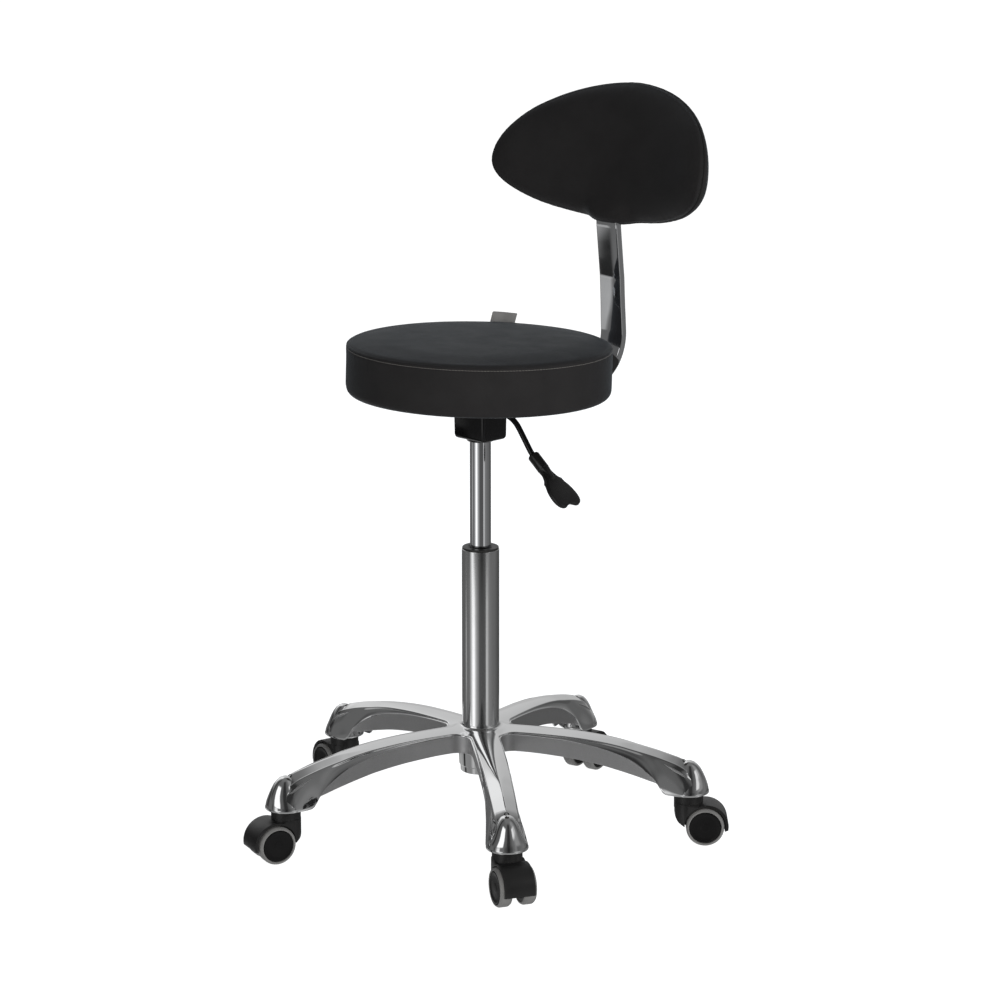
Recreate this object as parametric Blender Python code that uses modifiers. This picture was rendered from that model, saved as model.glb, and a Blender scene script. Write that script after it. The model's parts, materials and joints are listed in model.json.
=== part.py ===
"""Rolling stylist stool: five-arm base on twin-wheel casters, gas lift column, round seat and
curved backrest on a flat bar.

Units are metres, +Z up. The floor is z = 0 and the sitter faces -Y, with the backrest at +Y.
The column's axis stands at (COLUMN_X, COLUMN_Y); everything hangs on the stool_frame empty there.
"""

import math

import bmesh
import bpy
from mathutils import Matrix, Vector

# ---------------------------------------------------------------- driving dimensions
# Sizes of details stand at the head of the section that uses them.
COLUMN_X = 0.02610           # column axis, from the middle of the overall footprint
COLUMN_Y = -0.00255
GAP = 0.0003                 # running and assembly gap between neighbours

# base
ARM_COUNT = 5
ARM_FIRST_DEG = -37.883      # direction of arm 1
STEM_CIRCLE_R = 0.2835       # caster stems stand on this circle
ARM_TIP_R = 0.0272           # round tip of an arm, about its caster stem
ARM_TIP_Z = 0.0687           # underside of the tip
HUB_R = 0.0285
HUB_TOP_Z = 0.1466
HUB_BOTTOM_Z = 0.0834

# gas lift
TUBE_R = 0.0250
TUBE_WALL = 0.0015
TUBE_TOP_Z = 0.3914
TUBE_BOTTOM_Z = 0.0849
CYLINDER_R = 0.0140
CYLINDER_TOP_Z = 0.5644
CYLINDER_BOTTOM_Z = 0.2904
ROD_R = 0.0050

# casters
WHEEL_R = 0.0256
TRAIL = 0.0217               # axle behind the swivel axis
WHEEL_IN_Y = 0.0078
WHEEL_OUT_Y = 0.0252
# direction in which each caster trails at rest, degrees from +X
CASTER_TRAIL_DEG = (334.0, 44.6, 102.0, 170.4, 252.6)

# seat, in its own frame tilted about X through (0, 0, SEAT_Z)
SEAT_Z = 0.5999              # underside of the cushion on the column axis
SEAT_TILT_DEG = -1.5
SEAT_R = 0.1762
SEAT_EDGE_H = 0.0706
SEAT_CROWN = 0.0060
SEAT_OFFSET_X = -0.0030
BOARD_R = 0.1600
BOARD_T = 0.0120

# lever
LEVER_Z = 0.5804
LEVER_BEND_X = 0.0393
LEVER_DROP_DEG = 38.7

# backrest bar
BAR_W = 0.0400
BAR_T = 0.0100
BAR_BEND_R = 0.0630          # centre line of the elbow
BAR_BEND_Y = 0.1929
BAR_BEND_Z = 0.6504
BAR_LEAN_DEG = 4.7           # rising run leans towards the seat
BAR_KINK_Z = 0.7954
BAR_TOP_Z = 0.8924

# backrest pad
PAD_TIP_Z = 0.8639           # height of the pad's two side tips
PAD_Y = 0.2712
PAD_HALF_W = 0.2069          # along the curve
PAD_UP = 0.1281
PAD_DOWN = 0.0633
PAD_CURVE_R = 0.3527
PAD_LEAN_DEG = 13.5
PAD_T = 0.0570

# bolts
PLATE_BOLTS = ((-0.0500, -0.0600), (0.0500, -0.0600))       # x, y in the seat frame
BAR_BOLTS = ((0.0, 0.0450), (0.0, 0.0900))
SEAT_BOLTS = PLATE_BOLTS + BAR_BOLTS
SEAT_BOLT_HOLE_R = 0.0036
PAD_BOLT_ZS = (0.8354, 0.8704)

# ---------------------------------------------------------------- scene and collections
for old in list(bpy.data.objects):
    bpy.data.objects.remove(old)

stool = bpy.data.collections.new("rolling_stylist_stool")
cutters = bpy.data.collections.new("cutters")
bpy.context.scene.collection.children.link(stool)
bpy.context.scene.collection.children.link(cutters)
cutters.hide_render = True

root = bpy.data.objects.new("stool_frame", None)
root.location = (COLUMN_X, COLUMN_Y, 0.0)
stool.objects.link(root)


# ---------------------------------------------------------------- materials
def make_material(name, colour, roughness, metallic=0.0):
    material = bpy.data.materials.new(name)
    material.use_nodes = True
    inputs = material.node_tree.nodes["Principled BSDF"].inputs
    inputs["Base Color"].default_value = (*colour, 1.0)
    inputs["Roughness"].default_value = roughness
    inputs["Metallic"].default_value = metallic
    return material


CHROME = make_material("chrome", colour=(0.78, 0.79, 0.80), roughness=0.06, metallic=1.0)
CAST = make_material("polished_base", colour=(0.72, 0.73, 0.74), roughness=0.10, metallic=1.0)
STEEL = make_material("zinc_steel", colour=(0.55, 0.56, 0.58), roughness=0.35, metallic=1.0)
BLACK_STEEL = make_material("black_enamel", colour=(0.015, 0.015, 0.016), roughness=0.30)
BLACK_PLASTIC = make_material("black_plastic", colour=(0.018, 0.018, 0.019), roughness=0.45)
TREAD = make_material("grey_tread", colour=(0.18, 0.18, 0.18), roughness=0.60)
RUBBER = make_material("black_rubber", colour=(0.02, 0.02, 0.02), roughness=0.80)
LEATHER = make_material("leatherette", colour=(0.025, 0.026, 0.030), roughness=0.45)
FOAM = make_material("foam", colour=(0.80, 0.76, 0.60), roughness=0.95)
PLY = make_material("plywood", colour=(0.55, 0.40, 0.25), roughness=0.70)


# ---------------------------------------------------------------- objects and meshes
def empty(name, location, rotation=(0, 0, 0), parent=root):
    frame = bpy.data.objects.new(name, None)
    frame.parent = parent
    frame.location = location
    frame.rotation_euler = rotation
    stool.objects.link(frame)
    return frame


def set_material(mesh, material):
    mesh.materials.clear()
    mesh.materials.append(material)


def put(name, mesh, material=None, parent=root, location=(0, 0, 0), rotation=(0, 0, 0),
        cutter=False):
    """Makes an object of the mesh; a cutter only serves as a boolean tool."""
    piece = bpy.data.objects.new(name, mesh)
    (cutters if cutter else stool).objects.link(piece)
    piece.parent = parent
    piece.location = location
    piece.rotation_euler = rotation
    if material:
        set_material(mesh, material)
    if cutter:
        piece.hide_render = True
        piece.display_type = "WIRE"
    return piece


def shift(x, y, z):
    return Matrix.Translation((x, y, z))


def turn(degrees, axis):
    return Matrix.Rotation(math.radians(degrees), 4, axis)


def transform(piece, matrix):
    """Moves the mesh and leaves the object's origin where it is."""
    piece.data.transform(matrix)
    return piece


def smooth(piece, angle_deg=35.0):
    piece.data.shade_smooth()
    piece.data.set_sharp_from_angle(angle=math.radians(angle_deg))


def face_out(body):
    """Turns every face of a closed body outwards."""
    bmesh.ops.recalc_face_normals(body, faces=body.faces)
    if body.calc_volume(signed=True) < 0:
        bmesh.ops.reverse_faces(body, faces=body.faces)


def mesh_of(body, name):
    face_out(body)
    mesh = bpy.data.meshes.new(name)
    body.to_mesh(mesh)
    body.free()
    return mesh


def evaluated_mesh(piece, name, merge_distance=None):
    """The object's mesh after its modifiers or curve settings, with its faces turned outwards."""
    bpy.context.view_layer.update()
    depsgraph = bpy.context.evaluated_depsgraph_get()
    mesh = bpy.data.meshes.new_from_object(piece.evaluated_get(depsgraph))
    mesh.name = name
    body = bmesh.new()
    body.from_mesh(mesh)
    if merge_distance:
        bmesh.ops.remove_doubles(body, verts=body.verts, dist=merge_distance)
    face_out(body)
    body.to_mesh(mesh)
    body.free()
    return mesh


def bake(piece):
    """Replaces an object's mesh by its evaluated one, so that copies can share it."""
    mesh = evaluated_mesh(piece, piece.name)
    piece.modifiers.clear()
    piece.data = mesh
    smooth(piece)
    return piece


def bevel(piece, width, segments, angle_deg=None):
    """Bevels the edges sharper than the angle, or every edge where none is given."""
    modifier = piece.modifiers.new("bevel", "BEVEL")
    modifier.width = width
    modifier.segments = segments
    modifier.limit_method = "ANGLE" if angle_deg else "NONE"
    if angle_deg:
        modifier.angle_limit = math.radians(angle_deg)
    bake(piece)


def combine(piece, operation, tools):
    for tool in tools:
        modifier = piece.modifiers.new(tool.name, "BOOLEAN")
        modifier.operation = operation
        modifier.solver = "EXACT"
        modifier.object = tool
    bake(piece)


def cut(piece, *tools):
    combine(piece, "DIFFERENCE", tools)


def join(piece, *tools):
    combine(piece, "UNION", tools)


# ---------------------------------------------------------------- shapes
def cylinder(name, radius, low, high, segments, top_r=None, **placing):
    """A solid along Z from low to high; a cone frustum where top_r is given."""
    body = bmesh.new()
    bmesh.ops.create_cone(body, cap_ends=True, segments=segments, radius1=radius,
                          radius2=radius if top_r is None else top_r, depth=high - low)
    bmesh.ops.translate(body, verts=body.verts, vec=(0, 0, (low + high) / 2))
    return put(name, mesh_of(body, name), **placing)


def block(name, low, high, **placing):
    body = bmesh.new()
    bmesh.ops.create_cube(body, size=1.0)
    for vert in body.verts:
        for i in range(3):
            vert.co[i] = low[i] + (vert.co[i] + 0.5) * (high[i] - low[i])
    return put(name, mesh_of(body, name), **placing)


def turned(name, profile, segments, material=None, phase=0.0, **placing):
    """An (r, z) profile turned about Z. A profile with both ends on the axis closes there;
    any other profile is closed into a ring. The first profile stands at angle phase."""
    body = bmesh.new()
    verts = [body.verts.new((r * math.cos(phase), r * math.sin(phase), z)) for r, z in profile]
    for pair in zip(verts, verts[1:]):
        body.edges.new(pair)
    if max(profile[0][0], profile[-1][0]) > 1e-9:
        body.edges.new((verts[-1], verts[0]))
    mesh = bpy.data.meshes.new(name)
    body.to_mesh(mesh)
    body.free()
    piece = put(name, mesh, material, **placing)
    screw = piece.modifiers.new("turn", "SCREW")
    screw.steps = screw.render_steps = segments
    screw.angle = math.tau
    screw.axis = "Z"
    screw.use_merge_vertices = True
    screw.merge_threshold = 0.00005
    screw.use_normal_calculate = True
    return bake(piece)


def loft(name, rings, **placing):
    """A closed solid through rings of equal point counts, with flat end caps."""
    body = bmesh.new()
    rows = [[body.verts.new(point) for point in ring] for ring in rings]
    count = len(rows[0])
    for near, far in zip(rows, rows[1:]):
        for i in range(count):
            j = (i + 1) % count
            body.faces.new((near[i], near[j], far[j], far[i]))
    body.faces.new(rows[0])
    body.faces.new(rows[-1])
    return put(name, mesh_of(body, name), **placing)


def outline_solid(name, points, half, material=None):
    """A flat outline in XY extruded by half to both sides, made as a filled 2D curve."""
    curve = bpy.data.curves.new(name, "CURVE")
    curve.dimensions = "2D"
    curve.fill_mode = "BOTH"
    curve.extrude = half
    spline = curve.splines.new("POLY")
    spline.points.add(len(points) - 1)
    for point, (x, y) in zip(spline.points, points):
        point.co = (x, y, 0, 1)
    spline.use_cyclic_u = True
    drawn = bpy.data.objects.new(name + "_curve", curve)
    stool.objects.link(drawn)
    mesh = evaluated_mesh(drawn, name, merge_distance=0.00001)
    bpy.data.objects.remove(drawn)
    return put(name, mesh, material)


# ---------------------------------------------------------------- five-arm base
# distance along the arm, half width at the lower edge, half width at the shoulder,
# crest z, shoulder z, lower edge z
ARM_STATIONS = (
    (0.000, 0.0200, 0.0180, 0.1464, 0.1434, 0.1174),
    (0.060, 0.0200, 0.0180, 0.1459, 0.1424, 0.1166),
    (0.110, 0.0195, 0.0175, 0.1444, 0.1404, 0.1129),
    (0.160, 0.0190, 0.0168, 0.1404, 0.1354, 0.1054),
    (0.205, 0.0195, 0.0160, 0.1334, 0.1274, 0.0944),
    (0.240, 0.0215, 0.0155, 0.1254, 0.1184, 0.0834),
    (0.262, 0.0240, 0.0150, 0.1194, 0.1114, ARM_TIP_Z),
    (STEM_CIRCLE_R, ARM_TIP_R, 0.0140, 0.1114, 0.1034, ARM_TIP_Z),
)
ARM_RIM_H = 0.0040           # upright band above the lower edge
ARM_WALL = 0.0040
HOLLOW_XS = (0.050, 0.110, 0.160, 0.205, 0.240, 0.250)
HOLLOW_FLOOR_Z = 0.045       # below the arm, so that the hollow is open underneath
# r, z about the caster stem
ARM_TIP_PROFILE = ((0, 0.1134), (0.0120, 0.1069), (0.0190, 0.0964), (0.0240, 0.0864),
                   (0.0268, 0.0754), (ARM_TIP_R, ARM_TIP_Z), (0, ARM_TIP_Z))
SOCKET_R = 0.0059
SOCKET_TOP_Z = 0.0944
HUB_TAPER = 0.0010
SKIRT_R = 0.0400
SKIRT_TOP_R = 0.0480
SKIRT_BOTTOM_Z = 0.1169
SKIRT_TOP_Z = 0.1439


def arm_sizes(distance):
    """The station's sizes at a distance along the arm, on straight lines between stations."""
    for near, far in zip(ARM_STATIONS, ARM_STATIONS[1:]):
        if distance <= far[0]:
            share = (distance - near[0]) / (far[0] - near[0])
            return [start + (end - start) * share for start, end in zip(near[1:], far[1:])]


def arm_ring(x, inset=0.0, floor=None):
    """Cross-section of the arm at x, set in by inset and reaching down to floor if given."""
    low_w, shoulder_w, crest, shoulder, bottom = arm_sizes(x)
    low_w -= inset
    shoulder_w -= inset
    crest -= inset
    shoulder -= inset
    if floor is not None:
        bottom = floor
    half = [(low_w, bottom), (low_w, bottom + ARM_RIM_H), (shoulder_w, shoulder),
            (shoulder_w * 0.45, (shoulder + 2 * crest) / 3)]
    return ([(x, -y, z) for y, z in half] + [(x, 0, crest)]
            + [(x, y, z) for y, z in reversed(half)])


def arm_angle(i):
    return math.radians(ARM_FIRST_DEG + 360.0 / ARM_COUNT * i)


def build_base():
    """One arm is finished along +X, then turned and joined with its copies and the hub."""
    base = loft("star_base", [arm_ring(station[0]) for station in ARM_STATIONS])
    at_stem = (STEM_CIRCLE_R, 0, 0)
    tip = turned("arm_tip", ARM_TIP_PROFILE, 18, location=at_stem, cutter=True)
    hollow = loft("arm_hollow", [arm_ring(x, ARM_WALL, HOLLOW_FLOOR_Z) for x in HOLLOW_XS],
                  cutter=True)
    socket = cylinder("stem_socket", SOCKET_R, 0.04, SOCKET_TOP_Z, 10, location=at_stem,
                      cutter=True)
    join(base, tip)
    cut(base, hollow, socket)

    arm_mesh = base.data
    base.rotation_euler = (0, 0, arm_angle(0))
    others = [put(f"arm_{i + 1}_body", arm_mesh.copy(), rotation=(0, 0, arm_angle(i)),
                  cutter=True) for i in range(1, ARM_COUNT)]
    hub = cylinder("hub_body", HUB_R - HUB_TAPER, HUB_BOTTOM_Z, HUB_TOP_Z, 24, top_r=HUB_R,
                   cutter=True)
    skirt = cylinder("hub_skirt", SKIRT_R, SKIRT_BOTTOM_Z, SKIRT_TOP_Z, 20, top_r=SKIRT_TOP_R,
                     cutter=True)
    bore = cylinder("hub_bore", TUBE_R + GAP * 2, 0.07, 0.16, 24, cutter=True)
    join(base, skirt, hub, *others)
    cut(base, bore)
    set_material(base.data, CAST)


# ---------------------------------------------------------------- gas lift
TUBE_TAPER_Z = 0.1204        # the tube narrows below this
TUBE_TAPER = 0.0010
TUBE_FLOOR_TOP_Z = TUBE_BOTTOM_Z + 0.0030
TUBE_BORE_R = TUBE_R - TUBE_WALL
FLOOR_HOLE_R = 0.0056        # also the bearing's hole
BUSH_TOP_Z = 0.3936
BUSH_BOTTOM_Z = 0.3204
BEARING_R = 0.0140
BEARING_BOTTOM_Z = TUBE_FLOOR_TOP_Z + GAP
BEARING_TOP_Z = BEARING_BOTTOM_Z + 0.0050
ROD_COLLAR_R = 0.0100        # rests on the bearing
PISTON_R = 0.0113
PISTON_TOP_Z = 0.3154
GROOVE_R = 0.0040            # clip groove near the rod's lower end
GROOVE_TOP_Z = 0.0842
GROOVE_BOTTOM_Z = 0.0816
CLIP_PLAY = 0.0004
CLIP_R = 0.0090
ROD_BOTTOM_Z = 0.0789
CYLINDER_BORE_R = 0.0120
CYLINDER_BORE_BOTTOM_Z = CYLINDER_BOTTOM_Z + 0.0070
CYLINDER_BORE_TOP_Z = 0.5504
CYLINDER_TAPER = 0.0008      # at the top, above CYLINDER_TAPER_Z
CYLINDER_TAPER_Z = 0.5384
PIN_R = 0.0035
PIN_TOP_Z = 0.5766
PIN_BOTTOM_Z = 0.5424
PIN_CHAMFER = 0.0006


def build_tube():
    turned("outer_tube", [
        (TUBE_R, TUBE_TOP_Z), (TUBE_R, TUBE_TAPER_Z), (TUBE_R - TUBE_TAPER, TUBE_BOTTOM_Z),
        (FLOOR_HOLE_R, TUBE_BOTTOM_Z), (FLOOR_HOLE_R, TUBE_FLOOR_TOP_Z),
        (TUBE_R - 0.0026, TUBE_FLOOR_TOP_Z), (TUBE_BORE_R, TUBE_TAPER_Z),
        (TUBE_BORE_R, TUBE_TOP_Z)], 24, CHROME)
    # the bush's flange lies on the tube's rim
    flange_r = TUBE_R - 0.0006
    flange_z = TUBE_TOP_Z + GAP
    bush_r = TUBE_BORE_R - GAP
    bore_r = CYLINDER_R + GAP
    turned("guide_bush", [
        (flange_r, BUSH_TOP_Z), (flange_r, flange_z), (bush_r, flange_z),
        (bush_r, BUSH_BOTTOM_Z), (bore_r, BUSH_BOTTOM_Z), (bore_r, BUSH_TOP_Z)],
        24, BLACK_PLASTIC)


def build_rod():
    """Thrust bearing on the tube's floor, the piston rod through it and the clip below."""
    turned("thrust_bearing", [
        (BEARING_R, BEARING_TOP_Z), (BEARING_R, BEARING_BOTTOM_Z),
        (FLOOR_HOLE_R, BEARING_BOTTOM_Z), (FLOOR_HOLE_R, BEARING_TOP_Z)], 14, STEEL)
    collar_z = BEARING_TOP_Z + GAP
    turned("piston_rod", [
        (0, PISTON_TOP_Z), (PISTON_R, PISTON_TOP_Z), (PISTON_R, PISTON_TOP_Z - 0.0120),
        (ROD_R, PISTON_TOP_Z - 0.0140), (ROD_R, collar_z + 0.0042),
        (ROD_COLLAR_R, collar_z + 0.0032), (ROD_COLLAR_R, collar_z), (ROD_R, collar_z),
        (ROD_R, GROOVE_TOP_Z), (GROOVE_R, GROOVE_TOP_Z), (GROOVE_R, GROOVE_BOTTOM_Z),
        (ROD_R, GROOVE_BOTTOM_Z), (0.0042, ROD_BOTTOM_Z), (0, ROD_BOTTOM_Z)], 14, STEEL)
    clip_top = GROOVE_TOP_Z - CLIP_PLAY
    clip_bottom = GROOVE_BOTTOM_Z + CLIP_PLAY
    turned("rod_clip", [
        (CLIP_R, clip_top), (CLIP_R, clip_bottom), (GROOVE_R + GAP, clip_bottom),
        (GROOVE_R + GAP, clip_top)], 14, STEEL)


def build_cylinder():
    rod_hole_r = ROD_R + GAP
    pin_hole_r = PIN_R + GAP
    turned("pressure_cylinder", [
        (pin_hole_r, CYLINDER_TOP_Z), (CYLINDER_R - CYLINDER_TAPER, CYLINDER_TOP_Z),
        (CYLINDER_R, CYLINDER_TAPER_Z), (CYLINDER_R, CYLINDER_BOTTOM_Z),
        (rod_hole_r, CYLINDER_BOTTOM_Z), (rod_hole_r, CYLINDER_BORE_BOTTOM_Z),
        (CYLINDER_BORE_R, CYLINDER_BORE_BOTTOM_Z), (CYLINDER_BORE_R, CYLINDER_BORE_TOP_Z),
        (pin_hole_r, CYLINDER_BORE_TOP_Z)], 24, CHROME)
    turned("valve_pin", [
        (0, PIN_TOP_Z), (PIN_R - PIN_CHAMFER, PIN_TOP_Z), (PIN_R, PIN_TOP_Z - PIN_CHAMFER),
        (PIN_R, PIN_BOTTOM_Z), (0, PIN_BOTTOM_Z)], 12, STEEL)


# ---------------------------------------------------------------- casters
# A caster's frame has the swivel axis at its origin and trails towards +X.
WHEEL_FACETS = 16
HALF_FACET = math.pi / WHEEL_FACETS
CORNER_R = WHEEL_R / math.cos(HALF_FACET)     # facets lie on the true rolling radius
TREAD_IN_R = 0.0192
AXLE_R = 0.0030
AXLE_HALF = 0.0190
STEM_R = 0.0055
STEM_TOP_Z = 0.0920
STEM_BOTTOM_Z = 0.0420
COLLAR_R = 0.0197
COLLAR_BOTTOM_Z = 0.0500
COLLAR_TOP_Z = 0.0672
HOOD_R = 0.0302
HOOD_X = TRAIL + 0.0014      # centre of the hood's arc
HOOD_HALF_W = 0.0205
HOOD_CAVITY_R = 0.0276
HOOD_TOP_Z = 0.0540
# x, z of the hood's side view; the arc runs over the wheels
HOOD_OUTLINE = [
    (-0.0188, HOOD_TOP_Z), (-0.0188, 0.0385), (-0.0150, 0.0310), (-0.0050, 0.0245),
    (0.0080, 0.0175), (TRAIL, 0.0160), (0.0330, 0.0180),
    *((HOOD_X + HOOD_R * math.cos(math.radians(angle)),
       WHEEL_R + HOOD_R * math.sin(math.radians(angle))) for angle in (-10, 10, 30, 50, 70, 90)),
    (0.0060, HOOD_TOP_Z)]


def across(piece):
    """Lays a shape made along Z along the axle, at the axle's place; +Z becomes +Y."""
    return transform(piece, shift(TRAIL, 0, WHEEL_R) @ turn(-90, "X"))


def make_hood():
    hood = outline_solid("caster_1_hood", HOOD_OUTLINE, HOOD_HALF_W, BLACK_PLASTIC)
    transform(hood, turn(90, "X"))
    join(hood, cylinder("hood_collar", COLLAR_R, COLLAR_BOTTOM_Z, COLLAR_TOP_Z, 20, cutter=True))
    room_in = WHEEL_IN_Y - 0.0006
    room_out = 0.0300
    rooms = [across(cylinder(f"wheel_room_{side}", HOOD_CAVITY_R, low, high, 20, cutter=True))
             for side, low, high in (("a", room_in, room_out), ("b", -room_out, -room_in))]
    axle_hole = across(cylinder("axle_hole", AXLE_R + GAP, -0.03, 0.03, 10, cutter=True))
    stem_hole = cylinder("stem_hole", STEM_R + GAP, STEM_BOTTOM_Z - 0.0005, 0.09, 10, cutter=True)
    cut(hood, *rooms, axle_hole, stem_hole)
    return hood


def make_stem():
    return turned("caster_1_stem", [
        (0, STEM_TOP_Z), (STEM_R - 0.0010, STEM_TOP_Z), (STEM_R, STEM_TOP_Z - 0.0015),
        (STEM_R, STEM_BOTTOM_Z), (0, STEM_BOTTOM_Z)], 10, STEEL)


def make_axle():
    return across(turned("caster_1_axle", [
        (0, AXLE_HALF), (AXLE_R, AXLE_HALF), (AXLE_R, -AXLE_HALF), (0, -AXLE_HALF)], 10, STEEL))


# wheel profiles are in (radius, distance from the caster's middle plane)
def make_wheel_core():
    rim_r = TREAD_IN_R - GAP
    face = WHEEL_OUT_Y - 0.0010
    hole_r = AXLE_R + GAP
    hole_end = AXLE_HALF + 2 * GAP
    return across(turned("caster_1_wheel_left_core", [
        (0, face), (TREAD_IN_R - 0.0020, face), (rim_r, WHEEL_OUT_Y - 0.0022),
        (rim_r, WHEEL_IN_Y + 0.0010), (hole_r, WHEEL_IN_Y), (hole_r, hole_end), (0, hole_end)],
        WHEEL_FACETS, BLACK_PLASTIC, phase=HALF_FACET))


def make_tread():
    return across(turned("caster_1_tread_left", [
        (TREAD_IN_R + 0.0012, WHEEL_OUT_Y), (CORNER_R - 0.0040, WHEEL_OUT_Y),
        (CORNER_R, WHEEL_OUT_Y - 0.0035), (CORNER_R, WHEEL_IN_Y), (TREAD_IN_R, WHEEL_IN_Y),
        (TREAD_IN_R, WHEEL_OUT_Y - 0.0010)],
        WHEEL_FACETS, TREAD, phase=HALF_FACET))


def opposite(mesh, name):
    """A copy for the other wheel, half a turn about the upright line through the axle."""
    copy = mesh.copy()
    copy.name = name
    copy.transform(shift(TRAIL, 0, 0) @ turn(180, "Z") @ shift(-TRAIL, 0, 0))
    return copy


def build_casters():
    """Every caster shares one set of meshes; the pieces they were made on are removed."""
    pieces = [make_hood(), make_stem(), make_axle(), make_wheel_core(), make_tread()]
    hood, stem, axle, core, tread = [piece.data for piece in pieces]
    for piece in pieces:
        bpy.data.objects.remove(piece)
    parts = (("stem", stem, STEEL), ("hood", hood, BLACK_PLASTIC), ("axle", axle, STEEL),
             ("wheel_left", core, BLACK_PLASTIC),
             ("wheel_right", opposite(core, "wheel_right"), BLACK_PLASTIC),
             ("tread_left", tread, TREAD), ("tread_right", opposite(tread, "tread_right"), TREAD))
    for i, trail_deg in enumerate(CASTER_TRAIL_DEG):
        angle = arm_angle(i)
        place = (STEM_CIRCLE_R * math.cos(angle), STEM_CIRCLE_R * math.sin(angle), 0)
        swivel = empty(f"caster_{i + 1}_swivel", place, (0, 0, math.radians(trail_deg)))
        for part, mesh, material in parts:
            put(f"caster_{i + 1}_{part}", mesh, material, parent=swivel)


# ---------------------------------------------------------------- seat mechanism
TO_SEAT = shift(0, 0, SEAT_Z) @ turn(SEAT_TILT_DEG, "X")
FLANGE_TOP = 0.0012          # z in the seat frame
FLANGE_BOTTOM = FLANGE_TOP - 0.0030
FLANGE_HALF_X = 0.0650
FLANGE_FRONT_Y = -0.0750
FLANGE_BACK_Y = 0.1050
HOUSING_HALF_X = 0.0289
HOUSING_HALF_Y = 0.0227
HOUSING_BOTTOM_Z = 0.5412
HOUSING_WALL = 0.0025
ROOM_BOTTOM_Z = 0.5604
NECK_R = 0.0190
NECK_TOP_R = NECK_R + 0.0020
NECK_BOTTOM_Z = 0.5379
CONE_BORE_TOP_Z = 0.5655
SLOT_HALF_Y = 0.0037
SLOT_HALF_Z = 0.0045
SLOT_REACH = 0.0080          # to both sides of the housing's outer face


def box_about_column(name, half_x, half_y, low, high):
    return block(name, (-half_x, -half_y, low), (half_x, half_y, high), cutter=True)


def build_mechanism():
    """Flange, housing and neck in one piece. Returns the cutters of the seat's bolt holes."""
    plate = block("seat_plate", (-FLANGE_HALF_X, FLANGE_FRONT_Y, FLANGE_BOTTOM),
                  (FLANGE_HALF_X, FLANGE_BACK_Y, FLANGE_TOP))
    transform(plate, TO_SEAT)
    housing = box_about_column("housing_body", HOUSING_HALF_X, HOUSING_HALF_Y,
                               HOUSING_BOTTOM_Z, SEAT_Z - 0.0005)
    bevel(housing, width=0.0050, segments=2)
    neck = cylinder("housing_neck", NECK_R, NECK_BOTTOM_Z, HOUSING_BOTTOM_Z + 0.003, 18,
                    top_r=NECK_TOP_R, cutter=True)
    room = box_about_column("housing_room", HOUSING_HALF_X - HOUSING_WALL,
                            HOUSING_HALF_Y - HOUSING_WALL, ROOM_BOTTOM_Z, SEAT_Z - 0.0050)
    bore = cylinder("cone_bore", CYLINDER_R + GAP, 0.53, CONE_BORE_TOP_Z, 24, cutter=True)
    slot = block("lever_slot", (HOUSING_HALF_X - SLOT_REACH, -SLOT_HALF_Y, LEVER_Z - SLOT_HALF_Z),
                 (HOUSING_HALF_X + SLOT_REACH, SLOT_HALF_Y, LEVER_Z + SLOT_HALF_Z), cutter=True)
    join(plate, housing, neck)
    cut(plate, room, bore, slot)
    holes = [transform(cylinder(f"bolt_hole_{i + 1}", SEAT_BOLT_HOLE_R, -0.0200, 0.0100, 8,
                                cutter=True), TO_SEAT @ shift(x, y, 0))
             for i, (x, y) in enumerate(SEAT_BOLTS)]
    cut(plate, *holes)
    set_material(plate.data, BLACK_STEEL)
    return holes


# ---------------------------------------------------------------- cushion
COVER_T = 0.0014
TOP_EDGE_R = 0.0130          # rounding of the cushion's upper edge, flattened in height
LOW_EDGE_R = 0.0106
HEM_IN_R = 0.1480            # the cover is turned in under the board
HEM_OUT_R = 0.1640
HEM_T = 0.0012
BOARD_BOTTOM = FLANGE_TOP + GAP
FOAM_BOTTOM = 0.0030
FOAM_OVER_BOARD = 0.0142


def cushion_profile(inset, bottom):
    """Outer line of the cushion in (r, z), from the crown to the lower edge, set in by inset."""
    top = SEAT_EDGE_H
    points = [(SEAT_R * 0.45, top + SEAT_CROWN * 0.86), (SEAT_R * 0.78, top + SEAT_CROWN * 0.36)]
    for angle in map(math.radians, (15, 50, 90)):
        points.append((SEAT_R - TOP_EDGE_R + TOP_EDGE_R * math.sin(angle),
                       top - TOP_EDGE_R * 0.75 + TOP_EDGE_R * 0.75 * math.cos(angle)))
    for angle in map(math.radians, (0, 40, 80)):
        points.append((SEAT_R - LOW_EDGE_R + LOW_EDGE_R * math.cos(angle),
                       LOW_EDGE_R - LOW_EDGE_R * math.sin(angle)))
    # the inset acts sideways towards the rim and downwards in the upper half
    return [(0, top + SEAT_CROWN - inset)] + [
        (r - inset * min(1.0, r / (SEAT_R * 0.8)),
         max(bottom, z - inset * max(0.0, 2 * z / top - 1))) for r, z in points]


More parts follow.
